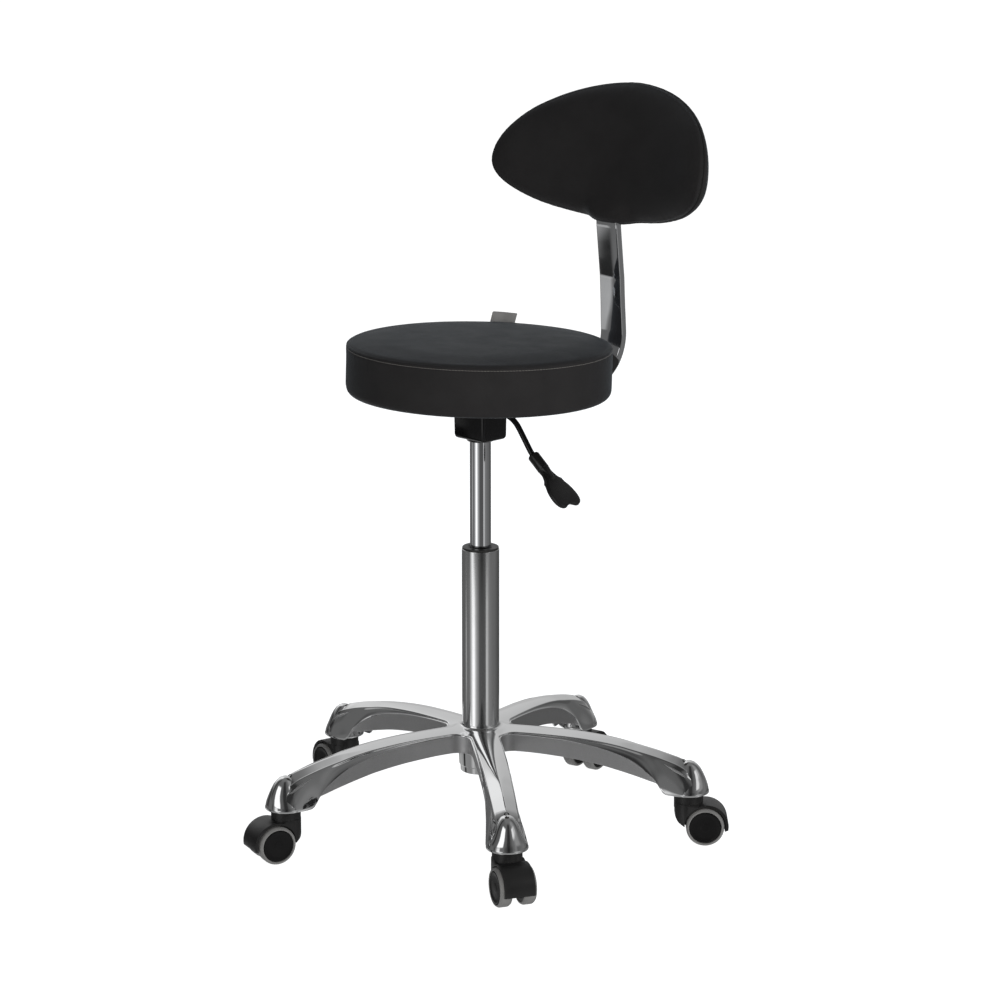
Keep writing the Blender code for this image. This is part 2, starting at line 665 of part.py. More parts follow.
def build_cushion():
    """Plywood board, leatherette cover and foam."""
    seat = empty("seat_frame", (0, 0, SEAT_Z), (math.radians(SEAT_TILT_DEG), 0, 0))
    cushion = empty("cushion_centre", (SEAT_OFFSET_X, 0, 0), parent=seat)
    board = cylinder("seat_board", BOARD_R, BOARD_BOTTOM, BOARD_BOTTOM + BOARD_T, 28,
                     material=PLY, parent=cushion)
    cut(board, *[cylinder(f"board_hole_{i + 1}", SEAT_BOLT_HOLE_R, -0.01, 0.03, 8,
                          parent=cushion, location=(x - SEAT_OFFSET_X, y, 0), cutter=True)
                 for i, (x, y) in enumerate(SEAT_BOLTS)])
    hem = [(HEM_IN_R, 0.0), (HEM_IN_R, HEM_T), (HEM_OUT_R, HEM_T)]
    inside = cushion_profile(COVER_T, COVER_T)[:-1]
    turned("seat_cover", cushion_profile(0.0, 0.0) + hem + inside[::-1], 28, LEATHER,
           parent=cushion)
    recess_r = BOARD_R + GAP * 2
    recess = [(recess_r, FOAM_BOTTOM), (recess_r, FOAM_OVER_BOARD), (0, FOAM_OVER_BOARD)]
    turned("seat_foam", cushion_profile(COVER_T + GAP * 2, FOAM_BOTTOM) + recess, 28, FOAM,
           parent=cushion)


# ---------------------------------------------------------------- lever
LEVER_ROD_R = 0.0030         # within the housing
LEVER_OUTER_R = 0.0038       # from LEVER_THICK_X outwards
LEVER_THICK_X = 0.0450
GRIP_START = 0.0757          # along the sloping line from the bend
ROD_IN_GRIP = 0.0300
GRIP_COLLAR_R = 0.0080
GRIP_COLLAR_END = 0.0350
GRIP_THICK = 0.0090
# x, z: level through the housing, bent down steeply, then eased into the line of the grip
LEVER_LINE = (
    (-0.0060, LEVER_Z), (0.0400, LEVER_Z), (0.0500, 0.5797), (0.0570, 0.5776), (0.0630, 0.5743),
    (0.0680, 0.5702), (0.0718, 0.5660), (0.0757, 0.5610), (0.0917, 0.5398), (0.0943, 0.5368),
    (0.0972, 0.5340))
# distance along the grip, half width; a waist, a wide paddle and a rounded end
GRIP_HALF_OUTLINE = [
    (0.0, 0.0074), (0.025, 0.0076), (0.033, 0.0084), (0.045, 0.0132), (0.055, 0.0185),
    (0.065, 0.0211), (0.074, 0.0220), (0.082, 0.0204), (0.087, 0.0168), (0.0892, 0.0122),
    (0.0878, 0.0060)]
GRIP_NOTCH = 0.0848          # bottom of the notch in the end


def slope_point(distance):
    """A point on the grip's sloping line, at a distance from the bend."""
    drop = math.radians(LEVER_DROP_DEG)
    along = Vector((math.cos(drop), 0, -math.sin(drop)))
    return Vector((LEVER_BEND_X, 0, LEVER_Z)) + along * distance


def build_lever_rod():
    points = [Vector((x, 0, z)) for x, z in LEVER_LINE] + [slope_point(GRIP_START + ROD_IN_GRIP)]
    curve = bpy.data.curves.new("lever_rod", "CURVE")
    curve.dimensions = "3D"
    curve.bevel_depth = LEVER_ROD_R
    curve.bevel_resolution = 2
    curve.use_fill_caps = True
    spline = curve.splines.new("POLY")
    spline.points.add(len(points) - 1)
    for point, place in zip(spline.points, points):
        point.co = (*place, 1)
        point.radius = 1.0 if place.x < LEVER_THICK_X else LEVER_OUTER_R / LEVER_ROD_R
    put("lever_rod", curve, BLACK_STEEL)


def build_grip():
    """A flat paddle with a notched end, on a round collar; made along +X, then sloped."""
    other_half = [(x, -y) for x, y in reversed(GRIP_HALF_OUTLINE)]
    grip = outline_solid("lever_grip", GRIP_HALF_OUTLINE + [(GRIP_NOTCH, 0.0)] + other_half,
                         GRIP_THICK / 2 - 0.001)
    bevel(grip, width=0.0012, segments=1, angle_deg=60)
    sleeve = cylinder("grip_sleeve", GRIP_COLLAR_R, -0.0010, GRIP_COLLAR_END, 16,
                      top_r=GRIP_COLLAR_R - 0.0004, cutter=True)
    bore = cylinder("grip_bore", LEVER_OUTER_R + GAP, -0.01, ROD_IN_GRIP + 0.0010, 12,
                    cutter=True)
    for tool in (sleeve, bore):
        transform(tool, turn(90, "Y"))
    join(grip, sleeve)
    cut(grip, bore)
    transform(grip, Matrix.Translation(slope_point(GRIP_START)) @ turn(LEVER_DROP_DEG, "Y"))
    set_material(grip.data, BLACK_PLASTIC)


# ---------------------------------------------------------------- backrest bar
PAD_LEAN = math.radians(PAD_LEAN_DEG)
BAR_SEAT_TOP = -0.0022       # upper face of the run under the seat, z in the seat frame
BAR_START_Y = 0.0300
BAR_KINK_R = 0.0500
PAD_BOLT_HOLE_R = 0.0034


def bar_line():
    """Centre line of the bar in the plane x = 0: y, z and direction angle from +Y."""
    start_dir = math.radians(SEAT_TILT_DEG)
    lean = math.radians(BAR_LEAN_DEG)
    rise_dir = math.pi / 2 + lean
    top_dir = math.pi / 2 - PAD_LEAN
    start_z = SEAT_Z + BAR_START_Y * math.tan(start_dir) + (BAR_SEAT_TOP - BAR_T / 2)
    points = [(BAR_START_Y, start_z, start_dir)]
    for i in range(9):
        angle = start_dir + (rise_dir - start_dir) * i / 8
        points.append((BAR_BEND_Y + BAR_BEND_R * math.sin(angle),
                       BAR_BEND_Z - BAR_BEND_R * math.cos(angle), angle))
    y, z, _ = points[-1]
    kink_y = y - (BAR_KINK_Z - z) * math.tan(lean)
    for i in range(4):
        angle = rise_dir + (top_dir - rise_dir) * i / 3
        points.append((kink_y + BAR_KINK_R * (math.sin(rise_dir) - math.sin(angle)),
                       BAR_KINK_Z + BAR_KINK_R * (math.cos(angle) - math.cos(rise_dir)), angle))
    y, z, _ = points[-1]
    run = (BAR_TOP_Z - z) / math.sin(top_dir)
    points.append((y + run * math.cos(top_dir), BAR_TOP_Z, top_dir))
    return points


BAR_LINE = bar_line()


def bar_rings(line, clearance=0.0):
    """The bar's rectangular sections along a line, grown by a clearance on every side."""
    half_w = BAR_W / 2 + clearance
    rings = []
    for y, z, angle in line:
        up = Vector((0, -math.sin(angle), math.cos(angle))) * (BAR_T / 2 + clearance)
        side = Vector((half_w, 0, 0))
        centre = Vector((0, y, z))
        rings.append([centre + up - side, centre + up + side,
                      centre - up + side, centre - up - side])
    return rings


def through_bar(z):
    """Placement at height z on the upper run's centre, with local +Z out of its front face."""
    top_y, top_z, _ = BAR_LINE[-1]
    return shift(0, top_y - (top_z - z) * math.tan(PAD_LEAN), z) @ turn(90 - PAD_LEAN_DEG, "X")


def pad_bolt_cutters(name, radius, low, high):
    return [transform(cylinder(f"{name}_{i + 1}", radius, low, high, 8, cutter=True),
                      through_bar(z)) for i, z in enumerate(PAD_BOLT_ZS)]


def build_bar(seat_holes):
    """Returns the cutters of the pad's bolt holes."""
    bar = loft("back_bar", bar_rings(BAR_LINE))
    bevel(bar, width=0.0010, segments=1, angle_deg=50)
    pad_holes = pad_bolt_cutters("pad_bolt_hole", PAD_BOLT_HOLE_R, -0.03, 0.03)
    cut(bar, *seat_holes[len(PLATE_BOLTS):], *pad_holes)
    set_material(bar.data, CHROME)
    return pad_holes


BUMPER_HALF_W = 0.0300
BUMPER_FRONT_Y = 0.1840


def build_bumper():
    """Rubber spacer in the elbow, between the cushion's rear edge and the bar."""
    arc_r = BAR_BEND_R - BAR_T / 2 - 0.0006
    # y, z
    outline = [(BUMPER_FRONT_Y, SEAT_Z + 0.0330), (0.2220, SEAT_Z + 0.0296),
               (0.2362, SEAT_Z + 0.0179)]
    outline += [(BAR_BEND_Y + arc_r * math.cos(angle), BAR_BEND_Z + arc_r * math.sin(angle))
                for angle in map(math.radians, (-43, -54, -65, -75))]
    outline.append((BUMPER_FRONT_Y, SEAT_Z + 0.0010))
    bumper = outline_solid("bar_bumper", outline, BUMPER_HALF_W, RUBBER)
    transform(bumper, turn(90, "Z") @ turn(90, "X"))


# ---------------------------------------------------------------- bolts
def bolt(name, place, head_r, head_h, shank_r, length):
    """The head hangs below z = 0, narrowing downwards; the shank rises to length."""
    piece = turned(name, [
        (0, length), (shank_r, length), (shank_r, 0), (head_r, 0), (head_r, -head_h * 0.45),
        (head_r * 0.62, -head_h), (0, -head_h)], 8, STEEL)
    transform(piece, place)


def build_bolts():
    for i, (x, y) in enumerate(PLATE_BOLTS):
        bolt(f"plate_bolt_{i + 1}", TO_SEAT @ shift(x, y, FLANGE_BOTTOM - GAP),
             head_r=0.0068, head_h=0.0040, shank_r=0.0030, length=0.0140)
    bar_underside = BAR_SEAT_TOP - BAR_T
    for i, (x, y) in enumerate(BAR_BOLTS):
        bolt(f"bar_bolt_{i + 1}", TO_SEAT @ shift(x, y, bar_underside - GAP - 0.0001),
             head_r=0.0075, head_h=0.0045, shank_r=0.0030, length=0.0250)
    # heads lie on the bar's front face, shanks run back into the board
    for i, z in enumerate(PAD_BOLT_ZS):
        bolt(f"pad_bolt_{i + 1}", through_bar(z) @ turn(180, "X") @ shift(0, 0, -BAR_T / 2 - GAP),
             head_r=0.0065, head_h=0.0035, shank_r=0.0028, length=0.0170)


# ---------------------------------------------------------------- backrest pad
PAD_POWER_UP = 1.79          # superellipse powers of the outline
PAD_POWER_DOWN = 2.31
PAD_SKIN = 0.0016
BOARD_FRONT = -0.0055        # board's faces, measured backwards from the pad's middle surface
BOARD_BACK = BOARD_FRONT + 0.0080
WAY_CLEARANCE = 0.0006
# height as a share of the plate's reach down (negative) or up
PLATE_ROWS = (-0.97, -0.75, -0.30, 0.35, 0.75, 0.96)
PLATE_COLUMNS = 8


def pad_point(across_u, up_v, back_n):
    """Along the curved width, up the pad's face, towards the back; in the stool frame."""
    angle = across_u / PAD_CURVE_R
    radius = PAD_CURVE_R + back_n
    depth = radius * math.cos(angle) - PAD_CURVE_R
    return Vector((radius * math.sin(angle),
                   PAD_Y + depth * math.cos(PAD_LEAN) + up_v * math.sin(PAD_LEAN),
                   PAD_TIP_Z - depth * math.sin(PAD_LEAN) + up_v * math.cos(PAD_LEAN)))


def pad_solid(name, inset, **placing):
    """A sphere whose poles face front and back, drawn to the pad's outline and thickness."""
    body = bmesh.new()
    bmesh.ops.create_uvsphere(body, u_segments=28, v_segments=10, radius=1.0)
    for vert in body.verts:
        x, y, z = vert.co                     # z is the thickness direction here
        rho = math.hypot(x, y)
        angle = math.atan2(y, x)
        power, reach = (PAD_POWER_UP, PAD_UP) if y >= 0 else (PAD_POWER_DOWN, PAD_DOWN)
        exponent = 2.0 / power
        spread = rho ** 0.8
        side = math.copysign(abs(math.cos(angle)) ** exponent, x) * (PAD_HALF_W - inset)
        rise = math.copysign(abs(math.sin(angle)) ** exponent, y) * (reach - inset)
        bulge = 0.0
        if rho < 0.9999:
            bulge = math.copysign(max(0.0, 1 - rho ** 3.2) ** (1 / 2.2), z)
        vert.co = pad_point(side * spread, rise * spread, bulge * (PAD_T / 2 - inset))
    return put(name, mesh_of(body, name), **placing)


def curved_plate(name, half_w, up, down, front, back, **placing):
    """A plate bent to the pad's curve and rounded like the pad's outline."""
    body = bmesh.new()
    layers = []
    for depth in (front, back):
        rows = []
        for share in PLATE_ROWS:
            power, reach = (PAD_POWER_DOWN, down) if share < 0 else (PAD_POWER_UP, up)
            width = half_w * (1 - abs(share) ** power) ** (1 / power)
            rows.append([body.verts.new(pad_point(width * (2 * k / PLATE_COLUMNS - 1),
                                                  share * reach, depth))
                         for k in range(PLATE_COLUMNS + 1)])
        layers.append(rows)
        for low, high in zip(rows, rows[1:]):
            for k in range(PLATE_COLUMNS):
                body.faces.new((low[k], low[k + 1], high[k + 1], high[k]))
    rims = [rows[0] + [row[-1] for row in rows[1:]] + rows[-1][-2::-1]
            + [row[0] for row in rows[-2:0:-1]] for rows in layers]
    front_rim, back_rim = rims
    for i in range(len(front_rim)):
        body.faces.new((front_rim[i - 1], front_rim[i], back_rim[i], back_rim[i - 1]))
    return put(name, mesh_of(body, name), **placing)


def make_bar_way():
    """Way in for the bar, open at the pad's lower edge and reaching just past the bar's top."""
    way = loft("bar_way", bar_rings([point for point in BAR_LINE if point[1] > 0.70],
                                    WAY_CLEARANCE), cutter=True)
    y, z, angle = BAR_LINE[-1]
    ends = [(y + step * math.tan(PAD_LEAN), z + step, angle) for step in (-0.002, 0.001)]
    join(way, loft("bar_way_top", bar_rings(ends, WAY_CLEARANCE), cutter=True))
    return way


def build_pad(pad_holes):
    cover = pad_solid("back_cover", 0.0)
    cover_room = pad_solid("pad_inner", PAD_SKIN, cutter=True)
    foam = pad_solid("back_foam", PAD_SKIN + GAP * 6)
    board_room = curved_plate("back_board_room", half_w=0.1630, up=0.0920, down=0.0440,
                              front=BOARD_FRONT - 0.0032, back=BOARD_BACK + 0.0026, cutter=True)
    board = curved_plate("back_board", half_w=0.1600, up=0.0900, down=0.0420,
                         front=BOARD_FRONT, back=BOARD_BACK)
    way = make_bar_way()
    # room in the foam around the bolt heads
    head_rooms = pad_bolt_cutters("pad_bolt_room", 0.0075, -0.0020, 0.0100)
    cut(cover, cover_room, way)
    cut(foam, board_room, way, *head_rooms)
    cut(board, *pad_holes)
    for piece, material in ((cover, LEATHER), (foam, FOAM), (board, PLY)):
        set_material(piece.data, material)
        smooth(piece, 50)


# ---------------------------------------------------------------- the whole stool
build_base()
build_tube()
build_rod()
build_cylinder()
build_casters()
seat_bolt_holes = build_mechanism()
build_cushion()
build_lever_rod()
build_grip()
pad_bolt_holes = build_bar(seat_bolt_holes)
build_bumper()
build_bolts()
build_pad(pad_bolt_holes)
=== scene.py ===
import json
import math

import bmesh
import bpy
import numpy as np
from mathutils import Matrix, Vector, noise
from mathutils.bvhtree import BVHTree
from mathutils.kdtree import KDTree


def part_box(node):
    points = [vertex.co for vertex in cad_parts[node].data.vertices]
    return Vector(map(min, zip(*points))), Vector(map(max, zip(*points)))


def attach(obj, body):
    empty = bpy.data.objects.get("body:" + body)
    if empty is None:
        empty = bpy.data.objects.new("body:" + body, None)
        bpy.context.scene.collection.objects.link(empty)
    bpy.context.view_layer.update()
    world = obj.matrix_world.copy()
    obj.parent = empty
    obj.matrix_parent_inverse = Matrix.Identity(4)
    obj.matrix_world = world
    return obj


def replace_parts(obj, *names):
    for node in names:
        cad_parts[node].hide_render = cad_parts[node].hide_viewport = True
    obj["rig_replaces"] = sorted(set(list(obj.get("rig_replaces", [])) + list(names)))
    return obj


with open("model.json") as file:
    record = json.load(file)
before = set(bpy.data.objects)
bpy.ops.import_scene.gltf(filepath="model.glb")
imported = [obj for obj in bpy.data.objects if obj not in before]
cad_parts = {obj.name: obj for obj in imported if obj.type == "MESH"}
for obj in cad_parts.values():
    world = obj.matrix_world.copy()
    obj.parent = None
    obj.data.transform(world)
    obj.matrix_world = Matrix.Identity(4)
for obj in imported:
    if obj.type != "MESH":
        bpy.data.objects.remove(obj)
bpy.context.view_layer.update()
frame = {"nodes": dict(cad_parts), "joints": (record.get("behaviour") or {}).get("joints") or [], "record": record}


# ------------------------------------------------------------------ places read from the frame
def upright(place, azimuth=0.0):
    """A frame that stands on the floor at place, its x axis turned to azimuth."""
    return Matrix.Translation((*place, 0)) @ Matrix.Rotation(azimuth, 4, "Z")


def bottom(node):
    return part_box(node)[0].z


def top(node):
    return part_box(node)[1].z


def half_width(node):
    low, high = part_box(node)
    return (high.x - low.x) / 2


JOINTS = {joint["name"]: joint for joint in frame["joints"]}
AXIS_X, AXIS_Y = JOINTS["seat_swivel"]["pos_m"][:2]
COLUMN = Matrix.Translation((AXIS_X, AXIS_Y, 0))
RIM_Z = bottom("star_base")                   # underside of the arm tips
HUB_TOP = top("star_base")
TUBE_TOP = top("outer_tube")
TUBE_R = half_width("outer_tube")
BUSH_TOP = top("guide_bush")
CYL_LO, CYL_HI = bottom("pressure_cylinder"), top("pressure_cylinder")
CYL_R = half_width("pressure_cylinder")
COLLAR_TOP = top("caster_1_hood")
WHEEL_R = top("caster_1_tread_left") / 2
LEVER_Z = Vector(JOINTS["height_lever"]["pos_m"]).z

STEMS = []                     # (place of the stem, azimuth of the arm, azimuth of the trail)
for n in range(1, 6):
    stem = Vector(JOINTS[f"caster_{n}_swivel"]["pos_m"])
    axle = Vector(JOINTS[f"caster_{n}_left_spin"]["pos_m"])
    STEMS.append(((stem.x, stem.y), math.atan2(stem.y - AXIS_Y, stem.x - AXIS_X),
                  math.atan2(axle.y - stem.y, axle.x - stem.x)))
TRAIL = math.hypot(axle.x - stem.x, axle.y - stem.y)
STEM_CIRCLE = math.hypot(STEMS[0][0][0] - AXIS_X, STEMS[0][0][1] - AXIS_Y)
ARM_FRAMES = [upright((AXIS_X, AXIS_Y), azimuth) for _, azimuth, _ in STEMS]


# ------------------------------------------------------------------ mesh helpers
def raw_mesh(shape, name):
    mesh = bpy.data.meshes.new(name)
    shape.to_mesh(mesh)
    shape.free()
    return mesh


def orient(shape):
    """Turns all faces outward."""
    bmesh.ops.recalc_face_normals(shape, faces=shape.faces)
    if shape.calc_volume(signed=True) < 0:
        bmesh.ops.reverse_faces(shape, faces=shape.faces)


def mesh_of(shape, name, matrix=None):
    bmesh.ops.remove_doubles(shape, verts=shape.verts, dist=1e-7)
    orient(shape)
    if matrix is not None:
        shape.transform(matrix)
    return raw_mesh(shape, name)


def add_object(name, mesh, material=None, sharp=0):
    """Links an object; edges steeper than sharp degrees stay hard, 0 leaves it unsmoothed."""
    added = bpy.data.objects.new(name, mesh)
    bpy.context.scene.collection.objects.link(added)
    if material is not None:
        mesh.materials.clear()
        mesh.materials.append(material)
    if sharp:
        mesh.shade_smooth()
        mesh.set_sharp_from_angle(angle=math.radians(sharp))
    return added


def add_part(name, source, material, body, replaces=None, sharp=32):
    """An object of the product, from a mesh or a bmesh."""
    mesh = source if isinstance(source, bpy.types.Mesh) else mesh_of(source, name)
    part = add_object(name, mesh, material, sharp)
    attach(part, body)
    if replaces:
        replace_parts(part, replaces)
    return part


def grid_faces(shape, rows, closed_columns=False, closed_rows=False):
    """Faces between neighbouring rows of equal length."""
    made = []
    n = len(rows[0])
    pairs = list(zip(rows, rows[1:])) + ([(rows[-1], rows[0])] if closed_rows else [])
    for low, high in pairs:
        for k in range(n if closed_columns else n - 1):
            following = (k + 1) % n
            corners = list(dict.fromkeys((low[k], low[following], high[following], high[k])))
            if len(corners) > 2 and shape.faces.get(corners) is None:
                made.append(shape.faces.new(corners))
    return made


def loft(shape, rings):
    """A closed solid through rings of vertices."""
    grid_faces(shape, rings, True)
    shape.faces.new(rings[0])
    shape.faces.new(rings[-1])


def rectangle(x0, y0, x1, y1, radius=0):
    return [(x0, y0, radius), (x1, y0, radius), (x1, y1, radius), (x0, y1, radius)]


def rounded(points, closed=True, step=15.0):
    """A polyline of (x, y) or (x, y, radius); corners with a radius are drawn as arcs."""
    drawn = []
    n = len(points)
    for i, (x, y, *radii) in enumerate(points):
        radius = radii[0] if radii else 0
        if radius <= 0 or (not closed and i in (0, n - 1)):
            drawn.append((x, y))
            continue
        corner = Vector((x, y))
        back = Vector(points[i - 1][:2]) - corner
        ahead = Vector(points[(i + 1) % n][:2]) - corner
        back_length, ahead_length = back.length, ahead.length
        back.normalize()
        ahead.normalize()
        angle = back.angle(ahead)
        if abs(math.pi - angle) < 1e-3:
            drawn.append((x, y))
            continue
        setback = min(radius / math.tan(angle / 2), back_length * 0.495, ahead_length * 0.495)
        fitted = setback * math.tan(angle / 2)
        centre = corner + (back + ahead).normalized() * (fitted / math.sin(angle / 2))
        first = corner + back * setback - centre
        last = corner + ahead * setback - centre
        start = math.atan2(first.y, first.x)
        sweep = (math.atan2(last.y, last.x) - start + math.pi) % math.tau - math.pi
        count = max(2, int(abs(math.degrees(sweep)) / step) + 1)
        for j in range(count + 1):
            turn = start + sweep * j / count
            drawn.append((centre.x + fitted * math.cos(turn), centre.y + fitted * math.sin(turn)))
    return drawn


def lathe(shape, profile, count, matrix=Matrix(), closed=False):
    """Turns (r, z) or (r, z, radius) points about Z; a point on the axis is one vertex."""
    rows = []
    for r, z in rounded(profile, closed):
        if r < 1e-7:
            rows.append([shape.verts.new(matrix @ Vector((0, 0, z)))] * count)
            continue
        turns = [math.tau * k / count for k in range(count)]
        rows.append([shape.verts.new(matrix @ Vector((r * math.cos(turn), r * math.sin(turn), z)))
                     for turn in turns])
    grid_faces(shape, rows, True, closed)
    return rows


def turned(profile, count, matrix=Matrix(), closed=False):
    """A new shape with one lathed piece."""
    shape = bmesh.new()
    lathe(shape, profile, count, matrix, closed)
    return shape


def prism(shape, outline, z0, z1, bevel=0.0, segments=3, matrix=Matrix(), step=15.0):
    """An outline in XY raised from z0 to z1, with rounded rims."""
    before = set(shape.verts)
    face = shape.faces.new([shape.verts.new((x, y, z0)) for x, y in rounded(outline, step=step)])
    made = bmesh.ops.extrude_face_region(shape, geom=[face])
    for item in made["geom"]:
        if isinstance(item, bmesh.types.BMVert):
            item.co.z = z1
    if bevel:
        inside = {v for v in shape.verts if v not in before}
        edges = [edge for edge in shape.edges
                 if edge.verts[0] in inside and edge.verts[1] in inside
                 and abs(edge.verts[0].co.z - edge.verts[1].co.z) < 1e-9]
        bmesh.ops.bevel(shape, geom=edges, offset=bevel, offset_type="OFFSET", segments=segments,
                        profile=0.5, affect="EDGES", clamp_overlap=True)
    bmesh.ops.transform(shape, matrix=matrix, verts=[v for v in shape.verts if v not in before])


def capsule(shape, start, end, radius, count=8):
    """A short rounded thread from start to end."""
    span = end - start
    length = span.length
    matrix = Matrix.Translation(start) @ span.to_track_quat("Z", "Y").to_matrix().to_4x4()
    lathe(shape, [(0, -radius * 0.6), (radius * 0.7, -radius * 0.3), (radius, radius * 0.4),
                  (radius, length - radius * 0.4), (radius * 0.7, length + radius * 0.3),
                  (0, length + radius * 0.6)], count, matrix)


def apply_all(target):
    """Replaces an object's mesh by its evaluated one."""
    bpy.context.view_layer.update()
    graph = bpy.context.evaluated_depsgraph_get()
    mesh = bpy.data.meshes.new_from_object(target.evaluated_get(graph))
    mesh.name = target.name
    target.modifiers.clear()
    target.data = mesh


def boolean(target, name, shape, operation):
    tool = add_object(name, mesh_of(shape, name))
    modifier = target.modifiers.new("b", "BOOLEAN")
    modifier.operation, modifier.solver, modifier.object = operation, "EXACT", tool
    apply_all(target)
    bpy.data.objects.remove(tool)


def subdivide(target):
    modifier = target.modifiers.new("sub", "SUBSURF")
    modifier.levels = modifier.render_levels = 1
    apply_all(target)


def hermite(table, column):
    """Smooth lookup of one column of a table by its first column."""
    xs = [row[0] for row in table]
    ys = [row[column] for row in table]
    n = len(xs)
    slopes = [(ys[i + 1] - ys[i]) / (xs[i + 1] - xs[i]) for i in range(n - 1)]
    tangents = [slopes[0]]
    for before, after in zip(slopes, slopes[1:]):
        flat = before * after <= 0
        tangents.append(0.0 if flat else 2 * before * after / (before + after))
    tangents.append(slopes[-1])

    def lookup(x):
        if x <= xs[0]:
            return ys[0]
        if x >= xs[-1]:
            return ys[-1]
        i = max(k for k in range(n - 1) if xs[k] <= x)
        step = xs[i + 1] - xs[i]
        t = (x - xs[i]) / step
        return ((2 * t ** 3 - 3 * t ** 2 + 1) * ys[i]
                + (t ** 3 - 2 * t ** 2 + t) * step * tangents[i]
                + (-2 * t ** 3 + 3 * t ** 2) * ys[i + 1]
                + (t ** 3 - t ** 2) * step * tangents[i + 1])
    return lookup


def smoothstep(start, end, x):
    t = max(0.0, min(1.0, (x - start) / (end - start)))
    return t * t * (3 - 2 * t)


# ------------------------------------------------------------------ shader helpers
class Graph:
    """A node tree being built; any input may be given as a value or as a socket."""

    def __init__(self, tree):
        self.tree = tree

    def feed(self, socket, value):
        if isinstance(value, bpy.types.NodeSocket):
            self.tree.links.new(value, socket)
        else:
            socket.default_value = value

    def node(self, kind, inputs=(), **settings):
        made = self.tree.nodes.new(kind)
        for key, value in settings.items():
            setattr(made, key, value)
        for key, value in dict(inputs).items():
            self.feed(made.inputs[key], value)
        return made

    def math(self, operation, first, second):
        inputs = {0: first, 1: second}
        return self.node("ShaderNodeMath", inputs, operation=operation).outputs[0]


class Material(Graph):
    """A procedural material in object coordinates."""

    def __init__(self, name):
        self.material = bpy.data.materials.new(name)
        self.material.use_nodes = True
        super().__init__(self.material.node_tree)
        self.coord = self.node("ShaderNodeTexCoord").outputs["Object"]

    def surface(self, **inputs):
        """Feeds the Principled BSDF and returns the finished material."""
        bsdf = self.tree.nodes["Principled BSDF"]
        for key, value in inputs.items():
            self.feed(bsdf.inputs[key.replace("_", " ")], value)
        return self.material

    def stretched(self, scale):
        inputs = {"Scale": scale, "Vector": self.coord}
        return self.node("ShaderNodeMapping", inputs).outputs["Vector"]

    def noise(self, scale, detail=2.0, rough=0.5, vector=None):
        inputs = {"Scale": scale, "Detail": detail, "Roughness": rough,
                  "Vector": vector or self.coord}
        return self.node("ShaderNodeTexNoise", inputs).outputs["Fac"]

    def voronoi(self, scale, feature="F1", vector=None):
        inputs = {"Scale": scale, "Vector": vector or self.coord}
        return self.node("ShaderNodeTexVoronoi", inputs, feature=feature).outputs["Distance"]

    def wave(self, scale, direction):
        inputs = {"Scale": scale, "Vector": self.coord}
        return self.node("ShaderNodeTexWave", inputs, bands_direction=direction).outputs["Fac"]

    def range(self, value, within=(0.0, 1.0), to=(0.0, 1.0)):
        """Maps the span `within` to the span `to`."""
        inputs = {"From Min": within[0], "From Max": within[1], "To Min": to[0], "To Max": to[1],
                  "Value": value}
        return self.node("ShaderNodeMapRange", inputs).outputs["Result"]

    def mix(self, factor, first, second):
        colours = [colour if isinstance(colour, bpy.types.NodeSocket) else (*colour, 1.0)
                   for colour in (first, second)]
        inputs = {0: factor, 6: colours[0], 7: colours[1]}
        return self.node("ShaderNodeMix", inputs, data_type="RGBA").outputs[2]

    def bump(self, height, strength, distance, normal=None):
        inputs = {"Strength": strength, "Distance": distance, "Height": height}
        if normal is not None:
            inputs["Normal"] = normal
        return self.node("ShaderNodeBump", inputs).outputs["Normal"]


def shade(colour, factor):
    return tuple(min(1, channel * factor) for channel in colour)


MIDDLE = (0.3, 0.7)            # the span most noise values fall in


# ------------------------------------------------------------------ materials
def chrome(name, tint, rough, wavy=0.0, streaks=None):
    """Plated metal; streaks stretches the fine grain, wavy is the depth of slow ripples."""
    mat = Material(name)
    smudge = mat.noise(scale=38, detail=5, rough=0.62)
    fine = mat.noise(scale=900, vector=mat.stretched(streaks) if streaks else None)
    haze = mat.math("MULTIPLY", smudge, mat.range(fine, to=(0.8, 1.2)))
    patches = mat.range(mat.noise(scale=14, detail=3), within=MIDDLE)
    normal = mat.bump(fine, strength=0.05, distance=0.00002)
    if wavy:
        ripple = mat.noise(scale=26, rough=0.4)
        normal = mat.bump(ripple, strength=wavy, distance=0.001, normal=normal)
    return mat.surface(Base_Color=mat.mix(patches, shade(tint, 0.955), tint), Metallic=1.0,
                       Roughness=mat.range(haze, within=(0.25, 0.8), to=rough), Normal=normal)


def raw_casting(name):
    mat = Material(name)
    sand = mat.noise(scale=1700, detail=3, rough=0.6)
    flow = mat.noise(scale=60, detail=4, rough=0.6)
    return mat.surface(
        Base_Color=mat.mix(mat.range(sand, within=MIDDLE), (0.50, 0.50, 0.505), (0.64, 0.64, 0.645)),
        Metallic=1.0, Roughness=mat.range(flow, within=MIDDLE, to=(0.40, 0.55)),
        Normal=mat.bump(sand, strength=0.35, distance=0.00012))


